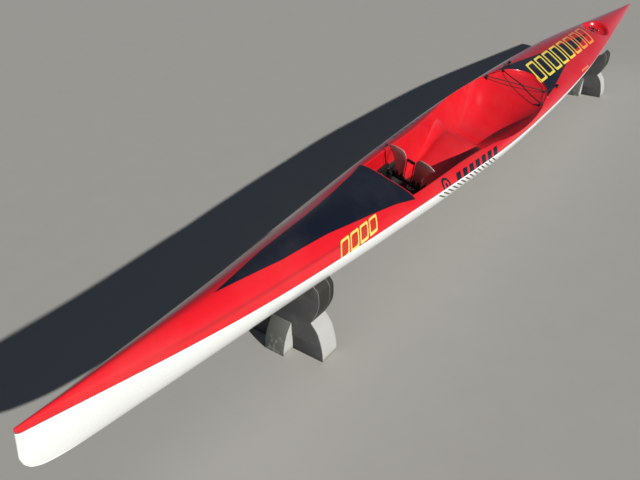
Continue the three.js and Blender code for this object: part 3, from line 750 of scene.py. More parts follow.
def makeHullPaint():
    material, tree, shader = newMaterial("whiteGelcoat")
    coordinates = boatCoordinates(tree)
    split = addNode(tree, "SeparateXYZ", {0: coordinates})
    bars = slantedBars(tree, split.outputs[0], split.outputs[2], hullBars)[0]
    colour = blendColours(tree, bars, linearColour(240, 243, 242), deckPaint["navy"])
    addGelcoat(tree, shader, hullCoat, colour, coordinates)
    return material


def makeFoam(name, shown, facts):
    # closed-cell foam: fine cells, sawn bands and pale rubbed patches. streaks: how far it is drawn out
    # upwards, glued: where a pale line shows that two layers meet
    material, tree, shader = newMaterial(name)
    coordinates = addNode(tree, "TexCoord").outputs["Object"]
    drawn = addNode(tree, "Mapping", {"Vector": coordinates, "Scale": (1, 1, 1 / facts["streaks"])})
    cells = addNode(tree, "TexVoronoi", {"Vector": coordinates, "Scale": 420.0}).outputs[0]
    blotch = addNoise(tree, drawn.outputs[0], facts["scale"], 8.0, 0.65)
    rubbed = ramped(tree, blotch, 0.5, 0.72)
    split = addNode(tree, "SeparateXYZ", {0: coordinates})
    x, height = split.outputs[0], split.outputs[2]
    if facts["lowScuffs"]:
        rubbed = sums(tree, "MULTIPLY", rubbed, ramped(tree, height, 0.085, 0.06))
    patch = addNoise(tree, coordinates, 7.0, 3.0)
    colour = blendColours(tree, patch, linearColour(*shown), lighterBy(shown, 14))
    # painted shade: the foam darkens towards the floor, standing in for the contact shadow along the boards'
    # feet
    paintedFootShade = ramped(tree, height, 0.02, 0.002, 0.55)
    colour = blendColours(tree, paintedFootShade, colour, linearColour(46, 44, 40))
    rubbed = sums(tree, "MULTIPLY", rubbed, facts["rubbed"])
    colour = blendColours(tree, rubbed, colour, lighterBy(shown, facts["paler"]))
    if facts["glued"]:
        x = sums(tree, "MULTIPLY_ADD", addNoise(tree, coordinates, 9.0, 2.0), 0.012, x)
        for seam in facts["glued"]:
            off = sums(tree, "ABSOLUTE", sums(tree, "SUBTRACT", x, seam))
            mark = sums(tree, "LESS_THAN", off, 0.0016)
            colour = blendColours(tree, mark, colour, linearColour(92, 92, 86))
    relief = sums(tree, "MULTIPLY_ADD", blotch, 0.6, cells)
    coverShader(tree, shader, colour, facts["rough"], relief, 0.35, 0.0008)
    return material


def makeMoulded(name, shown, rough=0.45, metal=0.0):
    # moulded plastic, or metal with a fine brushed grain
    material, tree, shader = newMaterial(name)
    coordinates = addNode(tree, "TexCoord").outputs["Object"]
    grain = addNoise(tree, coordinates, 700.0, 3.0)
    patch = addNoise(tree, coordinates, 45.0, 5.0)
    share = sums(tree, "MULTIPLY", patch, 0.5)
    colour = blendColours(tree, share, linearColour(*shown), lighterBy(shown, 22))
    rough = sums(tree, "MULTIPLY_ADD", patch, 0.16, rough - 0.08)
    coverShader(tree, shader, colour, rough, grain, 0.12, 0.0005)
    shader.inputs["Metallic"].default_value = metal
    return material


def makeSmoky():
    # the pedals' smoky see-through plastic
    material = makeMoulded("smokyPlate", (206, 174, 169), 0.2)
    shader = material.node_tree.nodes["Principled BSDF"]
    shader.inputs["Transmission Weight"].default_value = 0.4
    shader.inputs["IOR"].default_value = 1.3
    return material


def makeBraid():
    # a woven sheath: two sets of strands that cross, along the piece's own map
    material, tree, shader = newMaterial("cordSheath")
    split = addNode(tree, "SeparateXYZ", {0: addNode(tree, "UVMap", uv_map="UVMap").outputs[0]})
    run = sums(tree, "MULTIPLY", split.outputs[0], 130.0)
    turn = sums(tree, "MULTIPLY", split.outputs[1], 4.0)
    one = sums(tree, "PINGPONG", sums(tree, "ADD", run, turn), 0.5)
    two = sums(tree, "PINGPONG", sums(tree, "SUBTRACT", run, turn), 0.5)
    strands = sums(tree, "MAXIMUM", one, two)
    colour = blendColours(tree, strands, linearColour(9, 8, 9), linearColour(30, 25, 26))
    coverShader(tree, shader, colour, 0.7, strands, 0.6, 0.0012)
    shader.inputs["Sheen Weight"].default_value = 0.05
    return material


# Camera, light and floor
def makeCamera():
    data = bpy.data.cameras.new("photoView")
    data.lens = cameraFacts["lens"]
    data.sensor_width = cameraFacts["sensor"]
    camera = addObject("photoView", data)
    yaw, pitch, roll = (math.radians(cameraFacts[k]) for k in ("yaw", "pitch", "roll"))
    level = math.cos(pitch)
    ahead = Vector((level * math.cos(yaw), level * math.sin(yaw), math.sin(pitch)))
    sideways = ahead.cross(Vector((0, 0, 1))).normalized()
    raised = sideways.cross(ahead)
    right = math.cos(roll) * sideways + math.sin(roll) * raised
    up = math.cos(roll) * raised - math.sin(roll) * sideways
    turn = Matrix((right, up, -ahead)).transposed().to_4x4()
    camera.matrix_world = Matrix.Translation(cameraFacts["at"]) @ turn
    bpy.context.scene.camera = camera


def makeLight():
    data = bpy.data.lights.new("keyLight", "SUN")
    data.energy = keyLight["strength"]
    data.color = keyLight["colour"]
    data.angle = math.radians(keyLight["spread"])
    lamp = addObject("keyLight", data)
    lamp.rotation_euler = Vector(keyLight["towards"]).to_track_quat("Z", "Y").to_euler()

    world = bpy.data.worlds.new("studio")
    bpy.context.scene.world = world
    world.use_nodes = True
    tree = world.node_tree
    upwards = addNode(tree, "TexCoord").outputs["Generated"]
    height = addNode(tree, "SeparateXYZ", {0: upwards}).outputs[2]
    share = ramped(tree, height, sky["bottom"], sky["top"])
    background = tree.nodes["Background"]
    tree.links.new(blendColours(tree, share, sky["horizon"], sky["zenith"]), background.inputs[0])
    background.inputs[1].default_value = sky["strength"]


def makeFloor():
    bm = bmesh.new()
    bmesh.ops.create_grid(bm, x_segments=1, y_segments=1, size=floorFacts["size"] / 2)
    mesh = bpy.data.meshes.new("floor")
    bm.to_mesh(mesh)
    bm.free()
    floor = addObject("floor", mesh)
    material, tree, shader = newMaterial("paleFloor")
    grain = addNoise(tree, addNode(tree, "TexCoord").outputs["Object"], 6.0, 8.0, 0.6)
    pale = floorFacts["colour"]
    darker = tuple(c * floorFacts["darker"] for c in pale[:3]) + (1,)
    tree.links.new(blendColours(tree, grain, darker, pale), shader.inputs["Base Color"])
    shader.inputs["Roughness"].default_value = floorFacts["rough"]
    floor.data.materials.append(material)


# Cords, hooks and pegs
cordFacts = {
    "radius": 0.003, "fine": 5, "crossing": -0.288, "lift": 0.0095, "reach": 0.06, "endRadius": 0.0044,
}
# the lower cord, from the fore starboard hook round the port peg to the aft port hook
cordRoute = (
    (-0.2073, -0.183, 0.2955), (-0.2076, -0.1882, 0.2955), (-0.2046, -0.1924, 0.2955),
    (-0.1997, -0.1939, 0.2955), (-0.1948, -0.192, 0.2955), (-0.1922, -0.1875, 0.2955),
    (-0.193, -0.1824, 0.2955), (-0.1971, -0.1744, 0.2957), (-0.2145, -0.1411, 0.2966),
    (-0.2359, -0.0998, 0.2978), (-0.2574, -0.0586, 0.299), (-0.2789, -0.0173, 0.3001),
    (-0.3004, 0.0239, 0.3013), (-0.3218, 0.0652, 0.3025), (-0.3433, 0.1065, 0.3036),
    (-0.3606, 0.1397, 0.3046), (-0.3648, 0.1477, 0.3048), (-0.3658, 0.1492, 0.3048),
    (-0.3673, 0.1502, 0.3048), (-0.3689, 0.1508, 0.3048), (-0.3778, 0.1524, 0.3057),
    (-0.4076, 0.1578, 0.3062), (-0.4463, 0.1648, 0.3071), (-0.4849, 0.1718, 0.3082),
    (-0.5147, 0.1772, 0.3091), (-0.5236, 0.1788, 0.3093), (-0.5287, 0.178, 0.3093),
    (-0.5322, 0.1742, 0.3093), (-0.5326, 0.169, 0.3093), (-0.5297, 0.1647, 0.3093),
    (-0.5248, 0.1631, 0.3093), (-0.5199, 0.1649, 0.3093),
)
hookFacts = {"foot": 0.011, "footHigh": 0.004, "post": 0.004, "cap": 0.009, "capHigh": 0.003, "room": 0.008}
pegFacts = {"foot": 0.006, "footHigh": 0.002, "post": 0.0025, "cap": 0.0045, "capHigh": 0.002, "room": 0.008}
hookPlaces = {
    "hook_fore_port": (-0.2, 0.186, hookFacts),
    "hook_fore_starboard": (-0.2, -0.186, hookFacts),
    "hook_aft_port": (-0.525, 0.171, hookFacts),
    "hook_aft_starboard": (-0.525, -0.171, hookFacts),
    "peg_port": (-0.37, 0.145, pegFacts),
    "peg_starboard": (-0.37, -0.145, pegFacts),
}


def makeCord(name, node, upper):
    route = [Vector(p) for p in cordRoute]
    if upper:
        for p in route:
            away = math.hypot(p.x - cordFacts["crossing"], p.y) / cordFacts["reach"]
            p.z += cordFacts["lift"] * math.exp(-(away**2))
            p.y = -p.y
    route = curveThrough(route, cordFacts["fine"])
    bm = bmesh.new()
    closedTube(bm, route, cordFacts["radius"], 14)
    finishPiece(bm, name, still, "cord_black", braid, replaced=[node])
    # a moulded bead grips each end
    r = cordFacts["endRadius"]
    bead = [(0, -0.002), (r * 0.7, -0.0017), (r, -0.0003), (r, 0.005), (r * 0.8, 0.0062), (0, 0.0062)]
    ends = (route[0], route[4]), (route[-1], route[-5])
    spots = [(end, (inner - end).normalized()) for end, inner in ends]
    turnedPiece(name + "Ends", still, "black_fitting", blackFitting, bead, spots, 20)


def makeHook(name, x, y, facts):
    foot, post, cap = facts["foot"], facts["post"], facts["cap"]
    base = max(surfaceAt(x, y - foot), surfaceAt(x, y + foot))
    rise, top = facts["footHigh"], facts["footHigh"] + facts["room"]
    high = top + facts["capHigh"]
    profile = [
        (0, -0.004), (foot, -0.004), (foot, rise * 0.55), (foot * 0.93, rise * 0.85), (foot * 0.8, rise),
        (post * 1.5, rise * 1.1), (post * 1.1, rise * 1.5), (post, rise * 2), (post, top - 0.0016),
        (post * 1.2, top - 0.0006), (cap * 0.8, top), (cap, top + 0.0007), (cap, high - 0.0012),
        (cap * 0.88, high - 0.0003), (cap * 0.6, high), (cap * 0.42, high), (cap * 0.38, high - 0.0008),
        (0, high - 0.0008),
    ]
    bm = bmesh.new()
    addRound(bm, profile, (x, y, base), sides=32)
    for vert in bm.verts:
        if vert.co.z < base - 0.003:
            # the foot's underside follows the deck
            vert.co.z = surfaceAt(vert.co.x, vert.co.y) - 0.001
    title = name.title().replace("_", "")
    finishPiece(bm, "deck" + title, still, "black_fitting", blackFitting, replaced=["deck_" + name])
    if facts is hookFacts:
        # the screw that holds the hook down
        head = [(0, -0.001), (0.0032, -0.001), (0.0032, 0), (0.0024, 0.0008), (0, 0.0009)]
        spot = (x, y, base + high - 0.0006)
        turnedPiece("screw" + title, still, "steel", steel, head, [(spot, upright)], 18)


plugFacts = {"x": -0.325, "y": 0.183, "radius": 0.006, "high": 0.002, "slot": 0.0011}


def makePlug():
    x, y, r, high = (plugFacts[k] for k in ("x", "y", "radius", "high"))
    base = deckTop(x, y)
    profile = [
        (0, -0.003), (r, -0.003), (r, high * 0.6), (r * 0.92, high), (r * 0.72, high),
        (r * 0.66, high * 0.55), (r * 0.6, high * 0.55), (r * 0.56, high * 0.9), (0, high * 0.9),
    ]
    spots = [((x, y, base), upright)]
    turnedPiece("ventPlug", still, "black_fitting", greyPlastic, profile, spots, replaced=["drain_plug"])
    bm = bmesh.new()
    half = Vector((r * 0.5, plugFacts["slot"] / 2, high * 0.375))
    middle = Vector((x, y, base + high * 0.875))
    addBlock(bm, middle - half, middle + half)
    soften(finishPiece(bm, "ventPlugGrip", still, "black_fitting", blackFitting), 0.0002)


# Footrest: tracks, carriage and pedals
footFacts = {"x": 1.052, "z": 0.17, "tube": 0.008, "reach": 0.0972}
trackFacts = {
    "from": 0.94, "to": 1.236, "z": 0.17, "high": 0.016, "inner": 0.098, "notches": 37, "inset": 0.0018,
    "deep": 0.003,
}
barFacts = {
    "x": 1.103, "z": 0.311, "half": 0.022, "thick": 0.007, "high": 0.015, "post": 0.0022, "inset": 0.002,
}
collarFacts = {"inner": 0.007, "outer": 0.0115, "long": 0.008, "round": 0.0008}
shoeFacts = {"inner": 0.076, "outer": 0.0976, "aft": -0.03, "fore": 0.034, "low": -0.017, "high": 0.017}
leverFacts = {"inner": 0.079, "outer": 0.09, "aft": -0.02, "fore": 0.044, "low": 0.0175, "high": 0.0245}
pedalFacts = {
    "inner": 0.027, "outer": 0.127, "foot": 0.072, "from": 0.0096, "rise": 0.192, "lean": 0.35,
    "thick": 0.005, "bore": 0.0088, "sleeve": 0.013, "edge": 0.0011,
}
lugFacts = {"at": (0.035, 0.062), "thick": 0.009, "wide": 0.012, "high": 0.026, "lift": 0.012, "screw": 0.03}


def wallAt(x, z):
    # how far out the footwell's wall is at a height
    low, high = 0.3, 1.0
    for _ in range(30):
        part = (low + high) / 2
        low, high = (part, high) if tubSkin(x, part) < z else (low, part)
    return low * pitWidth(x)


def addWallBar(bm, side, span, heights, count, innerAt):
    # a bar along the footwell's wall, as far in as innerAt says
    def where(i, j):
        x = mix(*span, i / count)
        z = heights[0] if j in (0, 3, 4) else heights[1]
        wall = wallAt(x, z)
        return Vector((x, side * (innerAt(wall) if j in (0, 1, 4) else wall - 0.0003), z))

    addSheet(bm, count, 4, where)
    closeEnds(bm)


def makeTrack(side, word):
    span = trackFacts["from"], trackFacts["to"]
    heights = [trackFacts["z"] + way * trackFacts["high"] / 2 for way in (-1, 1)]
    bm = bmesh.new()
    addWallBar(bm, side, span, heights, trackFacts["notches"], lambda wall: trackFacts["inner"])
    inward = [f for f in bm.faces if f.normal.y * side < -0.9]
    inward.sort(key=lambda f: f.calc_center_median().x)
    notches = inward[1:-1:2]
    bmesh.ops.inset_individual(bm, faces=notches, thickness=trackFacts["inset"], depth=-trackFacts["deep"])
    name, node = "track" + word.title(), "foot_track_" + word
    piece = finishPiece(bm, name, still, "black_fitting", blackFitting, replaced=[node], shade=False)
    soften(piece, 0.0005, 50, 1)


def makeCarriage():
    body = "foot_carriage"
    x, z, r, reach = (footFacts[k] for k in ("x", "z", "tube", "reach"))
    bm = bmesh.new()
    long = 2 * reach
    profile = [(0, 0), (r * 0.8, 0), (r, 0.001), (r, long - 0.001), (r * 0.8, long), (0, long)]
    addRound(bm, profile, (x, -reach, z), (0, 1, 0), 28)
    inner, outer, wide, turned = (collarFacts[k] for k in ("inner", "outer", "long", "round"))
    collar = [(inner, 0), (outer, turned), (outer, wide - turned), (inner, wide), (inner, 0)]
    for side in (-1, 1):
        # two posts carry the bar, each with a clamp collar where it leaves the tube
        y = side * (barFacts["half"] - barFacts["inset"])
        closedTube(bm, [(x, y, z), (barFacts["x"], y, barFacts["z"])], barFacts["post"], 12)
        addRound(bm, collar, (x, y - wide / 2, z), (0, 1, 0), 24)
    sharpen(finishPiece(bm, "footrest", body, "black_fitting", blackFitting, replaced=[body]), 40)
    bm = bmesh.new()
    for side in (-1, 1):
        # sliding shoes that run in the tracks, each with a locking lever
        for facts in (shoeFacts, leverFacts):
            ends = sorted((side * facts["inner"], side * facts["outer"]))
            low = x + facts["aft"], ends[0], z + facts["low"]
            addBlock(bm, low, (x + facts["fore"], ends[1], z + facts["high"]))
    soften(finishPiece(bm, "footrestShoes", body, "black_fitting", blackFitting, shade=False), 0.002)
    bm = bmesh.new()
    half = Vector((barFacts["thick"] / 2, barFacts["half"], barFacts["high"] / 2))
    middle = Vector((barFacts["x"], 0, barFacts["z"]))
    addBlock(bm, middle - half, middle + half)
    soften(finishPiece(bm, "footrestBar", body, "black_fitting", blackFitting), 0.0025, segments=3)
    face = shoeFacts["inner"] + 0.0002
    spots = [((x + off, side * face, z), (0, -side, 0)) for side in (-1, 1) for off in (-0.014, 0.014)]
    turnedPiece("footrestScrews", body, "steel", steel, screwHead(0.0032, 0, 0.001), spots, 16)


def pedalPoint(side, y, rise, depth):
    lean = pedalFacts["lean"]
    return Vector((
        footFacts["x"] + math.sin(lean) * rise + math.cos(lean) * depth,
        side * y,
        footFacts["z"] + math.cos(lean) * rise - math.sin(lean) * depth,
    ))


def pedalOutline():
    inner, outer, foot, rise = (pedalFacts[k] for k in ("inner", "outer", "foot", "rise"))
    start = pedalFacts["from"]
    bends = (
        ((foot, start), (foot + 0.004, rise * 0.42), (foot + 0.016, rise * 0.58)),
        ((foot + 0.016, rise * 0.58), (outer - 0.023, rise * 0.78), (outer - 0.003, rise * 0.885)),
        ((outer - 0.003, rise * 0.885), (outer + 0.003, rise * 0.94), (outer - 0.014, rise * 0.97)),
        ((outer - 0.014, rise * 0.97), (outer - 0.042, rise * 1.05), (inner + 0.02, rise)),
        ((inner + 0.02, rise), (inner + 0.002, rise * 0.94), (inner, rise * 0.78)),
    )
    points = [Vector((inner, start))]
    for bend in bends:
        a, b, c = (Vector(p) for p in bend)
        points += [a * (1 - t) ** 2 + b * 2 * t * (1 - t) + c * t**2 for t in (k / 9 for k in range(9))]
    return points + [Vector((inner, rise * 0.78))]


def makePedal(side, word):
    body, half, title = "pedal_" + word, pedalFacts["thick"] / 2, word.title()
    bm = bmesh.new()
    face = bm.faces.new([bm.verts.new(pedalPoint(side, p.x, p.y, -half)) for p in pedalOutline()])
    made = bmesh.ops.extrude_face_region(bm, geom=[face])
    lift = pedalPoint(side, 0, 0, half) - pedalPoint(side, 0, 0, -half)
    verts = [v for v in made["geom"] if isinstance(v, bmesh.types.BMVert)]
    bmesh.ops.translate(bm, vec=lift, verts=verts)
    bmesh.ops.recalc_face_normals(bm, faces=bm.faces)
    rim = [e for e in bm.edges if e.calc_face_angle(0) > 1.2]
    for f in bm.faces:
        if len(f.verts) == 4 and f.calc_center_median().z > footFacts["z"] + 0.05:
            f.material_index = 1
    bevelEdges(bm, rim, pedalFacts["edge"])
    sharpen(finishPiece(bm, "pedal" + title, body, "pedal_smoky", smoky, plateEdge, replaced=[body]), 30)

    bm = bmesh.new()
    bore, outside, long = pedalFacts["bore"], pedalFacts["sleeve"], pedalFacts["foot"] - pedalFacts["inner"]
    profile = [
        (bore, 0), (outside - 0.001, 0), (outside, 0.001), (outside, long - 0.001), (outside - 0.001, long),
        (bore, long), (bore, 0),
    ]
    start = pedalFacts["inner"] if side > 0 else -pedalFacts["foot"]
    addRound(bm, profile, (footFacts["x"], start, footFacts["z"]), (0, 1, 0), 28)
    # two lugs carry the plate
    thick, wide = lugFacts["thick"] / 2, lugFacts["wide"] / 2
    lean = Matrix.Rotation(pedalFacts["lean"], 3, "Y")
    for y in lugFacts["at"]:
        made = addBlock(bm, (-thick, -wide, 0), (thick, wide, lugFacts["high"]))
        bmesh.ops.rotate(bm, verts=made, cent=(0, 0, 0), matrix=lean)
        bmesh.ops.translate(bm, verts=made, vec=pedalPoint(side, y, lugFacts["lift"], 0))
    soften(finishPiece(bm, "pedalSleeve" + title, body, "black_fitting", blackFitting), 0.0007)
    spots = []
    for y in lugFacts["at"]:
        middle = pedalPoint(side, y, lugFacts["screw"], 0)
        for way in (-1, 1):
            ahead = (pedalPoint(side, y, lugFacts["screw"], way) - middle).normalized()
            spots.append((middle + ahead * (thick - 0.0001), ahead))
    turnedPiece("pedalScrews" + title, body, "steel", steel, screwHead(0.0034, 0.0005, 0.0006), spots, 16)


padFacts = {
    "from": 0.93, "to": 1.283, "part": 0.84, "thick": 0.0022, "lift": 0.0004, "rib": 0.0009, "ribs": 22,
    "sides": 72,
}
adjusterFacts = {"from": 1.07, "to": 1.165, "low": 0.1786, "high": 0.217, "deep": 0.014}
returnFacts = {"radius": 0.0014, "foot": (0.036, 0.0845, 0.0235), "rise": 0.158, "y": 0.113, "bow": 0.012}


def makeShadePad():
    # a ribbed black sheet on the footwell's floor; its black stands in as painted shade for the shaded floor
    # in front of the pedals
    count = padFacts["ribs"] * 6

    def where(i, j):
        x = mix(padFacts["from"], padFacts["to"], i / count)
        part = mix(-padFacts["part"], padFacts["part"], j / padFacts["sides"])
        y = part * pitWidth(x)
        rise = padFacts["lift"]
        if math.hypot(x - bailerFacts["x"], y) > bailerFacts["radius"] + 0.0025:
            # the sheet dips under the bailer's frame, and is ribbed round it
            rise += padFacts["thick"] + padFacts["rib"] * max(math.cos(2 * math.pi * i / 6), 0)
        return Vector((x, y, tubSkin(x, part) + rise))

    bm = bmesh.new()
    addSheet(bm, count, padFacts["sides"], where)
    piece = finishPiece(bm, "shadePad", still, "black_fitting", shadePadBlack, outward=False)
    if piece.data.polygons[0].normal.z < 0:
        piece.data.flip_normals()
    addModifier(piece, "SOLIDIFY", thickness=padFacts["thick"], offset=-1, use_rim=True)


def makeAdjuster(side, word):
    # the housing of the steering cable on the footwell's wall, with its two lock screws
    low, high, deep = (adjusterFacts[k] for k in ("low", "high", "deep"))
    span = adjusterFacts["from"], adjusterFacts["to"]
    bm = bmesh.new()
    addWallBar(bm, side, span, (low, high), 6, lambda wall: wall - deep)
    name = "cableAdjuster" + word.title()
    soften(finishPiece(bm, name, still, "black_fitting", blackFitting, shade=False), 0.003, 50)
    spots = []
    for x in (span[0] + 0.012, span[1] - 0.012):
        inner = wallAt(x, low) - deep + 0.002
        spots.append(((x, side * inner, (low + high) / 2), (0, -side, 0)))
    head = screwHead(0.0036, 0.003, 0.0006)
    turnedPiece("adjusterScrews" + word.title(), still, "steel", steel, head, spots, 16)


def makeReturn(side, word):
    # a thin cord that pulls the pedal back, from the shoe's lever up to its outer edge
    ahead, out, up = returnFacts["foot"]
    start = Vector((footFacts["x"] + ahead, side * out, footFacts["z"] + up))
    end = pedalPoint(side, returnFacts["y"], returnFacts["rise"], 0.0032)
    middle = (start + end) / 2 + Vector((returnFacts["bow"], side * returnFacts["bow"], 0))
    bm = bmesh.new()
    closedTube(bm, curveThrough([start, middle, end], 12), returnFacts["radius"], 10)
    cord = finishPiece(bm, "pedalReturn" + word.title(), None, "cord_black", braid)
    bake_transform(cord)


bailerFacts = {
    "x": 0.96, "radius": 0.022, "inside": 0.0155, "high": 0.0042, "bar": 0.027, "barWide": 0.0064,
    "barLow": 0.001, "barHigh": 0.0034, "screws": 4, "circle": 0.0187,
}


def makeBailer():
    x, r, inside, high = (bailerFacts[k] for k in ("x", "radius", "inside", "high"))
    z = pitLine("floor", x) + max(pitLine("ridge", x), 0) + 0.0003

    def lay(bm):
        # the frame follows the floor where the ramp begins
        for vert in bm.verts:
            vert.co.z += surfaceAt(vert.co.x, vert.co.y) - surfaceAt(x, 0)

    bm = bmesh.new()
    profile = [
        (0, -0.001), (r, -0.001), (r, high * 0.4), (r * 0.93, high * 0.8), (inside + 0.0012, high * 0.85),
        (inside, high * 0.6), (inside, 0.0006), (inside * 0.93, 0.0006), (inside * 0.9, 0.0015), (0, 0.0017),
    ]
    addRound(bm, profile, (x, 0, z), sides=40)
    # a bar across the flap
    half, wide = bailerFacts["bar"] / 2, bailerFacts["barWide"] / 2
    low, top = z + bailerFacts["barLow"], z + bailerFacts["barHigh"]
    made = addBlock(bm, (x - half, -wide, low), (x + half, wide, top))
    bevelEdges(bm, {e for v in made for e in v.link_edges}, 0.0007)
    lay(bm)
    sharpen(finishPiece(bm, "bailerFrame", still, "steel", steel, replaced=["bailer"]), 40)
    bm = bmesh.new()
    for k in range(bailerFacts["screws"]):
        angle = math.pi / 4 + k * 2 * math.pi / bailerFacts["screws"]
        across, sideways = (bailerFacts["circle"] * turn(angle) for turn in (math.cos, math.sin))
        head = [(0, 0), (0.0015, 0), (0.0013, 0.0007), (0, 0.0009)]
        addRound(bm, head, (x + across, sideways, z + high * 0.75), sides=12)
    lay(bm)
    finishPiece(bm, "bailerScrews", still, "steel", aluminium)


# Rudder: tube, shaft, tiller and blade, with the two steering cables
rudderFacts = {
    "x": -1.895, "shaft": 0.005, "bore": 0.0059, "tube": 0.009, "flange": 0.003, "clear": 0.005,
    "collar": 0.0145,
}
bladeFacts = {
    "depth": 0.166, "chord": 0.092, "tipChord": 0.062, "lead": 0.32, "sweep": 0.022, "thick": 0.009,
    "tipThin": 0.6, "tipRound": 0.16, "rows": 30, "sides": 40,
}
tillerFacts = {
    "half": 0.04, "wide": 0.012, "high": 0.006, "lift": 0.014, "hub": 0.012, "hubHigh": 0.0132,
    "hubDrop": 0.0028, "eye": 0.034,
}
cableFacts = {"x": -1.79, "y": 0.05, "radius": 0.0011}
flangeTop = deckSkin(rudderFacts["x"], 0) + rudderFacts["flange"]
tillerLevel = flangeTop + tillerFacts["lift"]
rudderKeel = line("keel", rudderFacts["x"])


def makeShaft():
    x, tube, bore, collar, r = (rudderFacts[k] for k in ("x", "tube", "bore", "collar", "shaft"))
    low = rudderKeel + rudderFacts["flange"]
    top = flangeTop - low
    profile = [
        (bore, 0), (tube, 0), (tube, top - 0.008), (collar, top - 0.0078), (collar, top - 0.0012),
        (collar - 0.0012, top), (bore, top), (bore, 0),
    ]
    spots = [((x, 0, low), upright)]
    nodes = ["rudder_tube"]
    sharpen(turnedPiece("rudderTube", still, "black_fitting", blackFitting, profile, spots, 32, nodes), 40)
    foot = rudderKeel - rudderFacts["clear"] + 0.0003
    long = tillerLevel + tillerFacts["high"] - foot
    profile = [(0, 0), (r, 0), (r, long - 0.001), (r - 0.001, long), (0, long)]
    spots = [((x, 0, foot), upright)]
    nodes = ["rudder_shaft"]
    sharpen(turnedPiece("rudderShaft", "rudder", "steel", steel, profile, spots, 28, nodes), 40)


def makeTiller():
    x, level = rudderFacts["x"], tillerLevel
    half, high, hub, eye = (tillerFacts[k] for k in ("half", "high", "hub", "eye"))
    wide = tillerFacts["wide"] / 2
    bm = bmesh.new()
    addBlock(bm, (x - wide, -half, level), (x + wide, half, level + high))
    corners = [e for e in bm.edges if abs(e.verts[0].co.z - e.verts[1].co.z) > high / 2]
    bevelEdges(bm, corners, wide * 0.95, 6)
    soften(finishPiece(bm, "tillerArm", "rudder", "steel", darkBlade, replaced=["tiller"]), 0.0008)
    pin = [(0, -0.0004), (0.0046, -0.0004), (0.0046, 0.0022), (0.0034, 0.0036), (0, 0.0038)]
    spots = [((x, side * eye, level + high), upright) for side in (-1, 1)]
    sharpen(turnedPiece("tillerPins", "rudder", "steel", aluminium, pin, spots, 18), 40)
    # a six-sided hub clamps the arm on the shaft
    top = tillerFacts["hubHigh"]
    profile = [
        (0, 0), (hub - 0.001, 0), (hub, 0.001), (hub, top - 0.0022), (hub - 0.0016, top - 0.0006),
        (0.0045, top), (0, top),
    ]
    bm = bmesh.new()
    addRound(bm, profile, (x, 0, level - tillerFacts["hubDrop"]), sides=6)
    soften(finishPiece(bm, "tillerHub", "rudder", "black_fitting", blackFitting, shade=False), 0.001)


def makeBlade():
    rows, sides, chord, thick = (bladeFacts[k] for k in ("rows", "sides", "chord", "thick"))

    def where(i, j):
        down = min(max((i - 1) / (rows - 2), 0), 1)
        long = mix(chord, bladeFacts["tipChord"], down**2)
        left = (1 - down) / bladeFacts["tipRound"]
        if left < 1:
            # the tip's corners are round
            long *= 0.45 + 0.55 * math.sqrt(max(1 - (1 - left) ** 2, 0))
        lead = rudderFacts["x"] + bladeFacts["lead"] * chord - bladeFacts["sweep"] * down
        thin = mix(thick, thick * bladeFacts["tipThin"], down) / 2
        angle = 2 * math.pi * j / sides
        back = (1 - math.cos(angle)) / 2
        y = thin * math.sin(angle) * (1.35 - 0.74 * back)  # fullest ahead of its middle
        closing = 0 if i in (0, rows) else 1
        z = rudderKeel - rudderFacts["clear"] - bladeFacts["depth"] * down
        return Vector((lead - long * back, y * closing, z))

    bm = bmesh.new()
    addSheet(bm, rows, sides, where)
    nodes = ["rudder_blade"]
    sharpen(finishPiece(bm, "rudderBlade", "rudder", "rudder_dark", darkBlade, replaced=nodes), 50)


def makeCable(side, word):
    # a steering cable from the tiller's end to a guide, where it goes on under the deck
    eye = Vector((rudderFacts["x"], side * tillerFacts["eye"], tillerLevel + tillerFacts["high"] + 0.0012))
    guide = Vector((cableFacts["x"], side * cableFacts["y"], 0))
    guide.z = deckSkin(guide.x, guide.y) + 0.0012
    middle = (eye + guide) / 2
    middle.z -= 0.0015
    beyond = guide + (guide - middle).normalized() * 0.006
    bm = bmesh.new()
    closedTube(bm, curveThrough([eye, middle, beyond], 8), cableFacts["radius"], 10)
    cable = finishPiece(bm, "steeringCable" + word, None, "steel", steel)
    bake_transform(cable)
    bead = [
        (0, -0.006), (0.0036, -0.006), (0.0045, -0.003), (0.0045, 0.003), (0.0034, 0.0045), (0, 0.0045),
    ]
    spots = [(guide, (eye - guide).normalized())]
    turnedPiece("cableGuide" + word, still, "black_fitting", blackFitting, bead, spots, 18)


# Foam stands: outlines run up one side, as half widths and heights
standPlaces = {"front": (1.901, -0.0586), "rear": (-2.034, -0.0112)}
standFacts = {"thick": 0.102, "lap": 0.07, "room": 0.0003, "rim": 0.0022, "slices": 6, "fine": 7}
crossLower = ((0.207, 0), (0.206, 0.042), (0.198, 0.087), (0.182, 0.138), (0.15, 0.181))
crossUpper = ((0.15, 0.181), (0.174, 0.226), (0.19, 0.27), (0.193, 0.313), (0.188, 0.348), (0.163, 0.372))
cradle = ((0.163, 0.372), (0.145, 0.348), (0.124, 0.322), (0.094, 0.312), (0, 0.308))
lowOutline = ((0.116, 0), (0.108, 0.045), (0.088, 0.095), (0.056, 0.139))
underside = {}  # the hull's underside at each station, worked out before


def hullUnder(x, y):
    # the height of the hull's underside over a point of the ground
    if x not in underside:
        beam, seam, keel, power = beamAt(x), line("seam", x), line("keel", x), 2 / line("full", x)
        ring, count = [], 120
        for j in range(count + 1):
            angle = math.pi * j / count
            across = math.copysign(abs(math.cos(angle)) ** power, math.cos(angle)) * beam
            ring.append(boatPlace @ Vector((x, across, seam - (seam - keel) * math.sin(angle) ** power)))
        widest = max(range(count + 1), key=lambda j: ring[j].y)
        underside[x] = ring[widest:]
    ring = underside[x]
    for a, b in zip(ring, ring[1:]):
        if b.y <= y <= a.y and a.y > b.y:
            return mix(a.z, b.z, (a.y - y) / (a.y - b.y))
    return math.inf


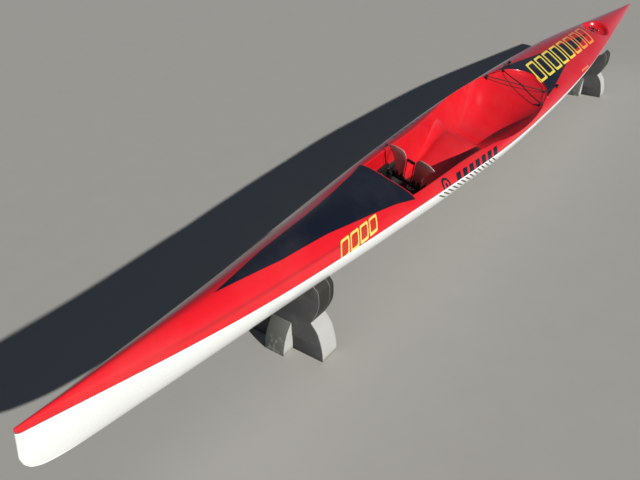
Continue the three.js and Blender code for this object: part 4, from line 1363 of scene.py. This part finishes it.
def finishBoard(bm, name, node, paintOf):
    closeEnds(bm)
    for face in bm.faces:
        face.material_index = paintOf(face.calc_center_median(), face.normal)
    rim = [e for e in bm.edges if e.calc_face_angle(0) > 0.9 and max(v.co.z for v in e.verts) > 0.001]
    # the cross board's lengthwise edges stay as they are
    rim = [e for e in rim if abs((e.verts[0].co - e.verts[1].co).x) < 0.001 or "Low" in name]
    # the bevelled rims take a paler foam, painted as the highlight along the boards' edges
    bevelEdges(bm, rim, standFacts["rim"], slot=4)
    foams = foamFace, foamPale, foamDark, foamScuffed, foamRimHighlight
    sharpen(finishPiece(bm, name, still, "stand_foam", *foams, replaced=[node], where=Matrix()), 40)


def makeCross(word, x0, y0):
    half, lap, room = standFacts["thick"] / 2, standFacts["lap"], standFacts["room"]
    lower = curveThrough([Vector(p) for p in crossLower], standFacts["fine"])
    upper = curveThrough([Vector(p) for p in crossUpper], standFacts["fine"])
    top = []
    for a, b in zip(cradle, cradle[1:]):
        top += [Vector(a).lerp(Vector(b), k / 8) for k in range(8)]
    side = [Vector((half + room, lap)), Vector((half + room, 0))] + lower[:-1] + upper[:-1] + top
    ring = side + [Vector(cradle[-1])] + [Vector((-p.x, p.y)) for p in reversed(side)]
    first = len(side) - len(top)
    last = len(ring) - first

    def where(i, j):
        j %= len(ring)
        x = x0 + mix(-half, half, i / standFacts["slices"])
        y, z = y0 + ring[j].x, ring[j].y
        if first <= j <= last:
            z = min(z, hullUnder(x, y) - room)
        return Vector((x, y, z))

    def paintOf(centre, normal):
        if abs(normal.x) > 0.6:
            return 0
        if centre.z < 0.001 or abs(centre.y - y0) < half + 0.002:
            return 2
        return 1 if centre.z < crossLower[-1][1] else 2

    bm = bmesh.new()
    addSheet(bm, standFacts["slices"], len(ring), where)
    finishBoard(bm, "stand" + word.title() + "Cross", "stand_" + word + "_cross", paintOf)


def makeLow(word, x0, y0):
    half, lap, room = standFacts["thick"] / 2, standFacts["lap"], standFacts["room"]
    outline = curveThrough([Vector(p) for p in lowOutline], standFacts["fine"])
    side = outline + [Vector((half + room, lowOutline[-1][1])), Vector((half + room, lap - room))]
    ring = side + [Vector((-p.x, p.y)) for p in reversed(side)]

    def where(i, j):
        j %= len(ring)
        return Vector((x0 + ring[j].x, y0 + mix(-half, half, i), ring[j].y))

    def paintOf(centre, normal):
        if abs(normal.y) > 0.6:
            return 1
        return 2 if centre.z < 0.001 or abs(centre.x - x0) < half + 0.002 else 3

    bm = bmesh.new()
    addSheet(bm, 1, len(ring), where)
    finishBoard(bm, "stand" + word.title() + "Low", "stand_" + word + "_low", paintOf)


makeCamera()
makeLight()
makeFloor()
bpy.context.scene.view_settings.view_transform = "Standard"
print("stage ready")

redGelcoat = makeDeckPaint()
whiteGelcoat = makeHullPaint()
foamFacts = {
    "streaks": 1.0, "scale": 14.0, "rubbed": 0.15, "paler": 60, "rough": 0.85, "lowScuffs": False,
    "glued": (),
}
darkFacts = {
    "streaks": 7.0, "scale": 55.0, "rubbed": 0.55, "paler": 26, "rough": 0.7, "lowScuffs": False,
    "glued": (1.884, -2.051),
}
scuffedFacts = {**foamFacts, "scale": 38.0, "rubbed": 0.8, "paler": 80, "lowScuffs": True}
foamFace = makeFoam("foamFace", (66, 66, 67), foamFacts)
foamPale = makeFoam("foamPale", (150, 152, 149), {**foamFacts, "rubbed": 0.3, "paler": 20})
foamDark = makeFoam("foamDark", (20, 20, 18), darkFacts)
foamScuffed = makeFoam("foamScuffed", (88, 90, 85), scuffedFacts)
# paler rim foam: a painted highlight along the bevelled edges, with real rubbed patches
foamRimHighlight = makeFoam("foamRimHighlight", (92, 92, 90), {**foamFacts, "scale": 30.0, "rubbed": 0.5})
blackFitting = makeMoulded("blackFitting", (18, 18, 20), 0.42)
# the pad's near-black is painted shade for the footwell's floor
shadePadBlack = makeMoulded("shadePadBlack", (13, 12, 13), 0.75)
greyPlastic = makeMoulded("greyPlastic", (128, 120, 122), 0.4)
steel = makeMoulded("steel", (168, 170, 172), 0.3, 1.0)
aluminium = makeMoulded("aluminium", (150, 151, 153), 0.42, 1.0)
darkBlade = makeMoulded("darkBlade", (26, 27, 30), 0.3)
smoky = makeSmoky()
plateEdge = makeMoulded("plateEdge", (150, 118, 112), 0.3)
braid = makeBraid()

makeDeck()
makeHull()
print("hull and deck ready")

for name, (x, y, facts) in hookPlaces.items():
    makeHook(name, x, y, facts)
makeCord("bungeeLower", "bungee_lower", False)
makeCord("bungeeUpper", "bungee_upper", True)
makePlug()
print("deck fittings ready")

for side, word in ((1, "port"), (-1, "starboard")):
    makeTrack(side, word)
    makePedal(side, word)
    makeAdjuster(side, word)
    makeReturn(side, word)
makeCarriage()
makeShadePad()
makeBailer()
print("footrest ready")

makeShaft()
makeTiller()
makeBlade()
makeCable(1, "Port")
makeCable(-1, "Starboard")
print("rudder ready")

for word, (x, y) in standPlaces.items():
    makeCross(word, x, y)
    makeLow(word, x, y)
print("stands ready")
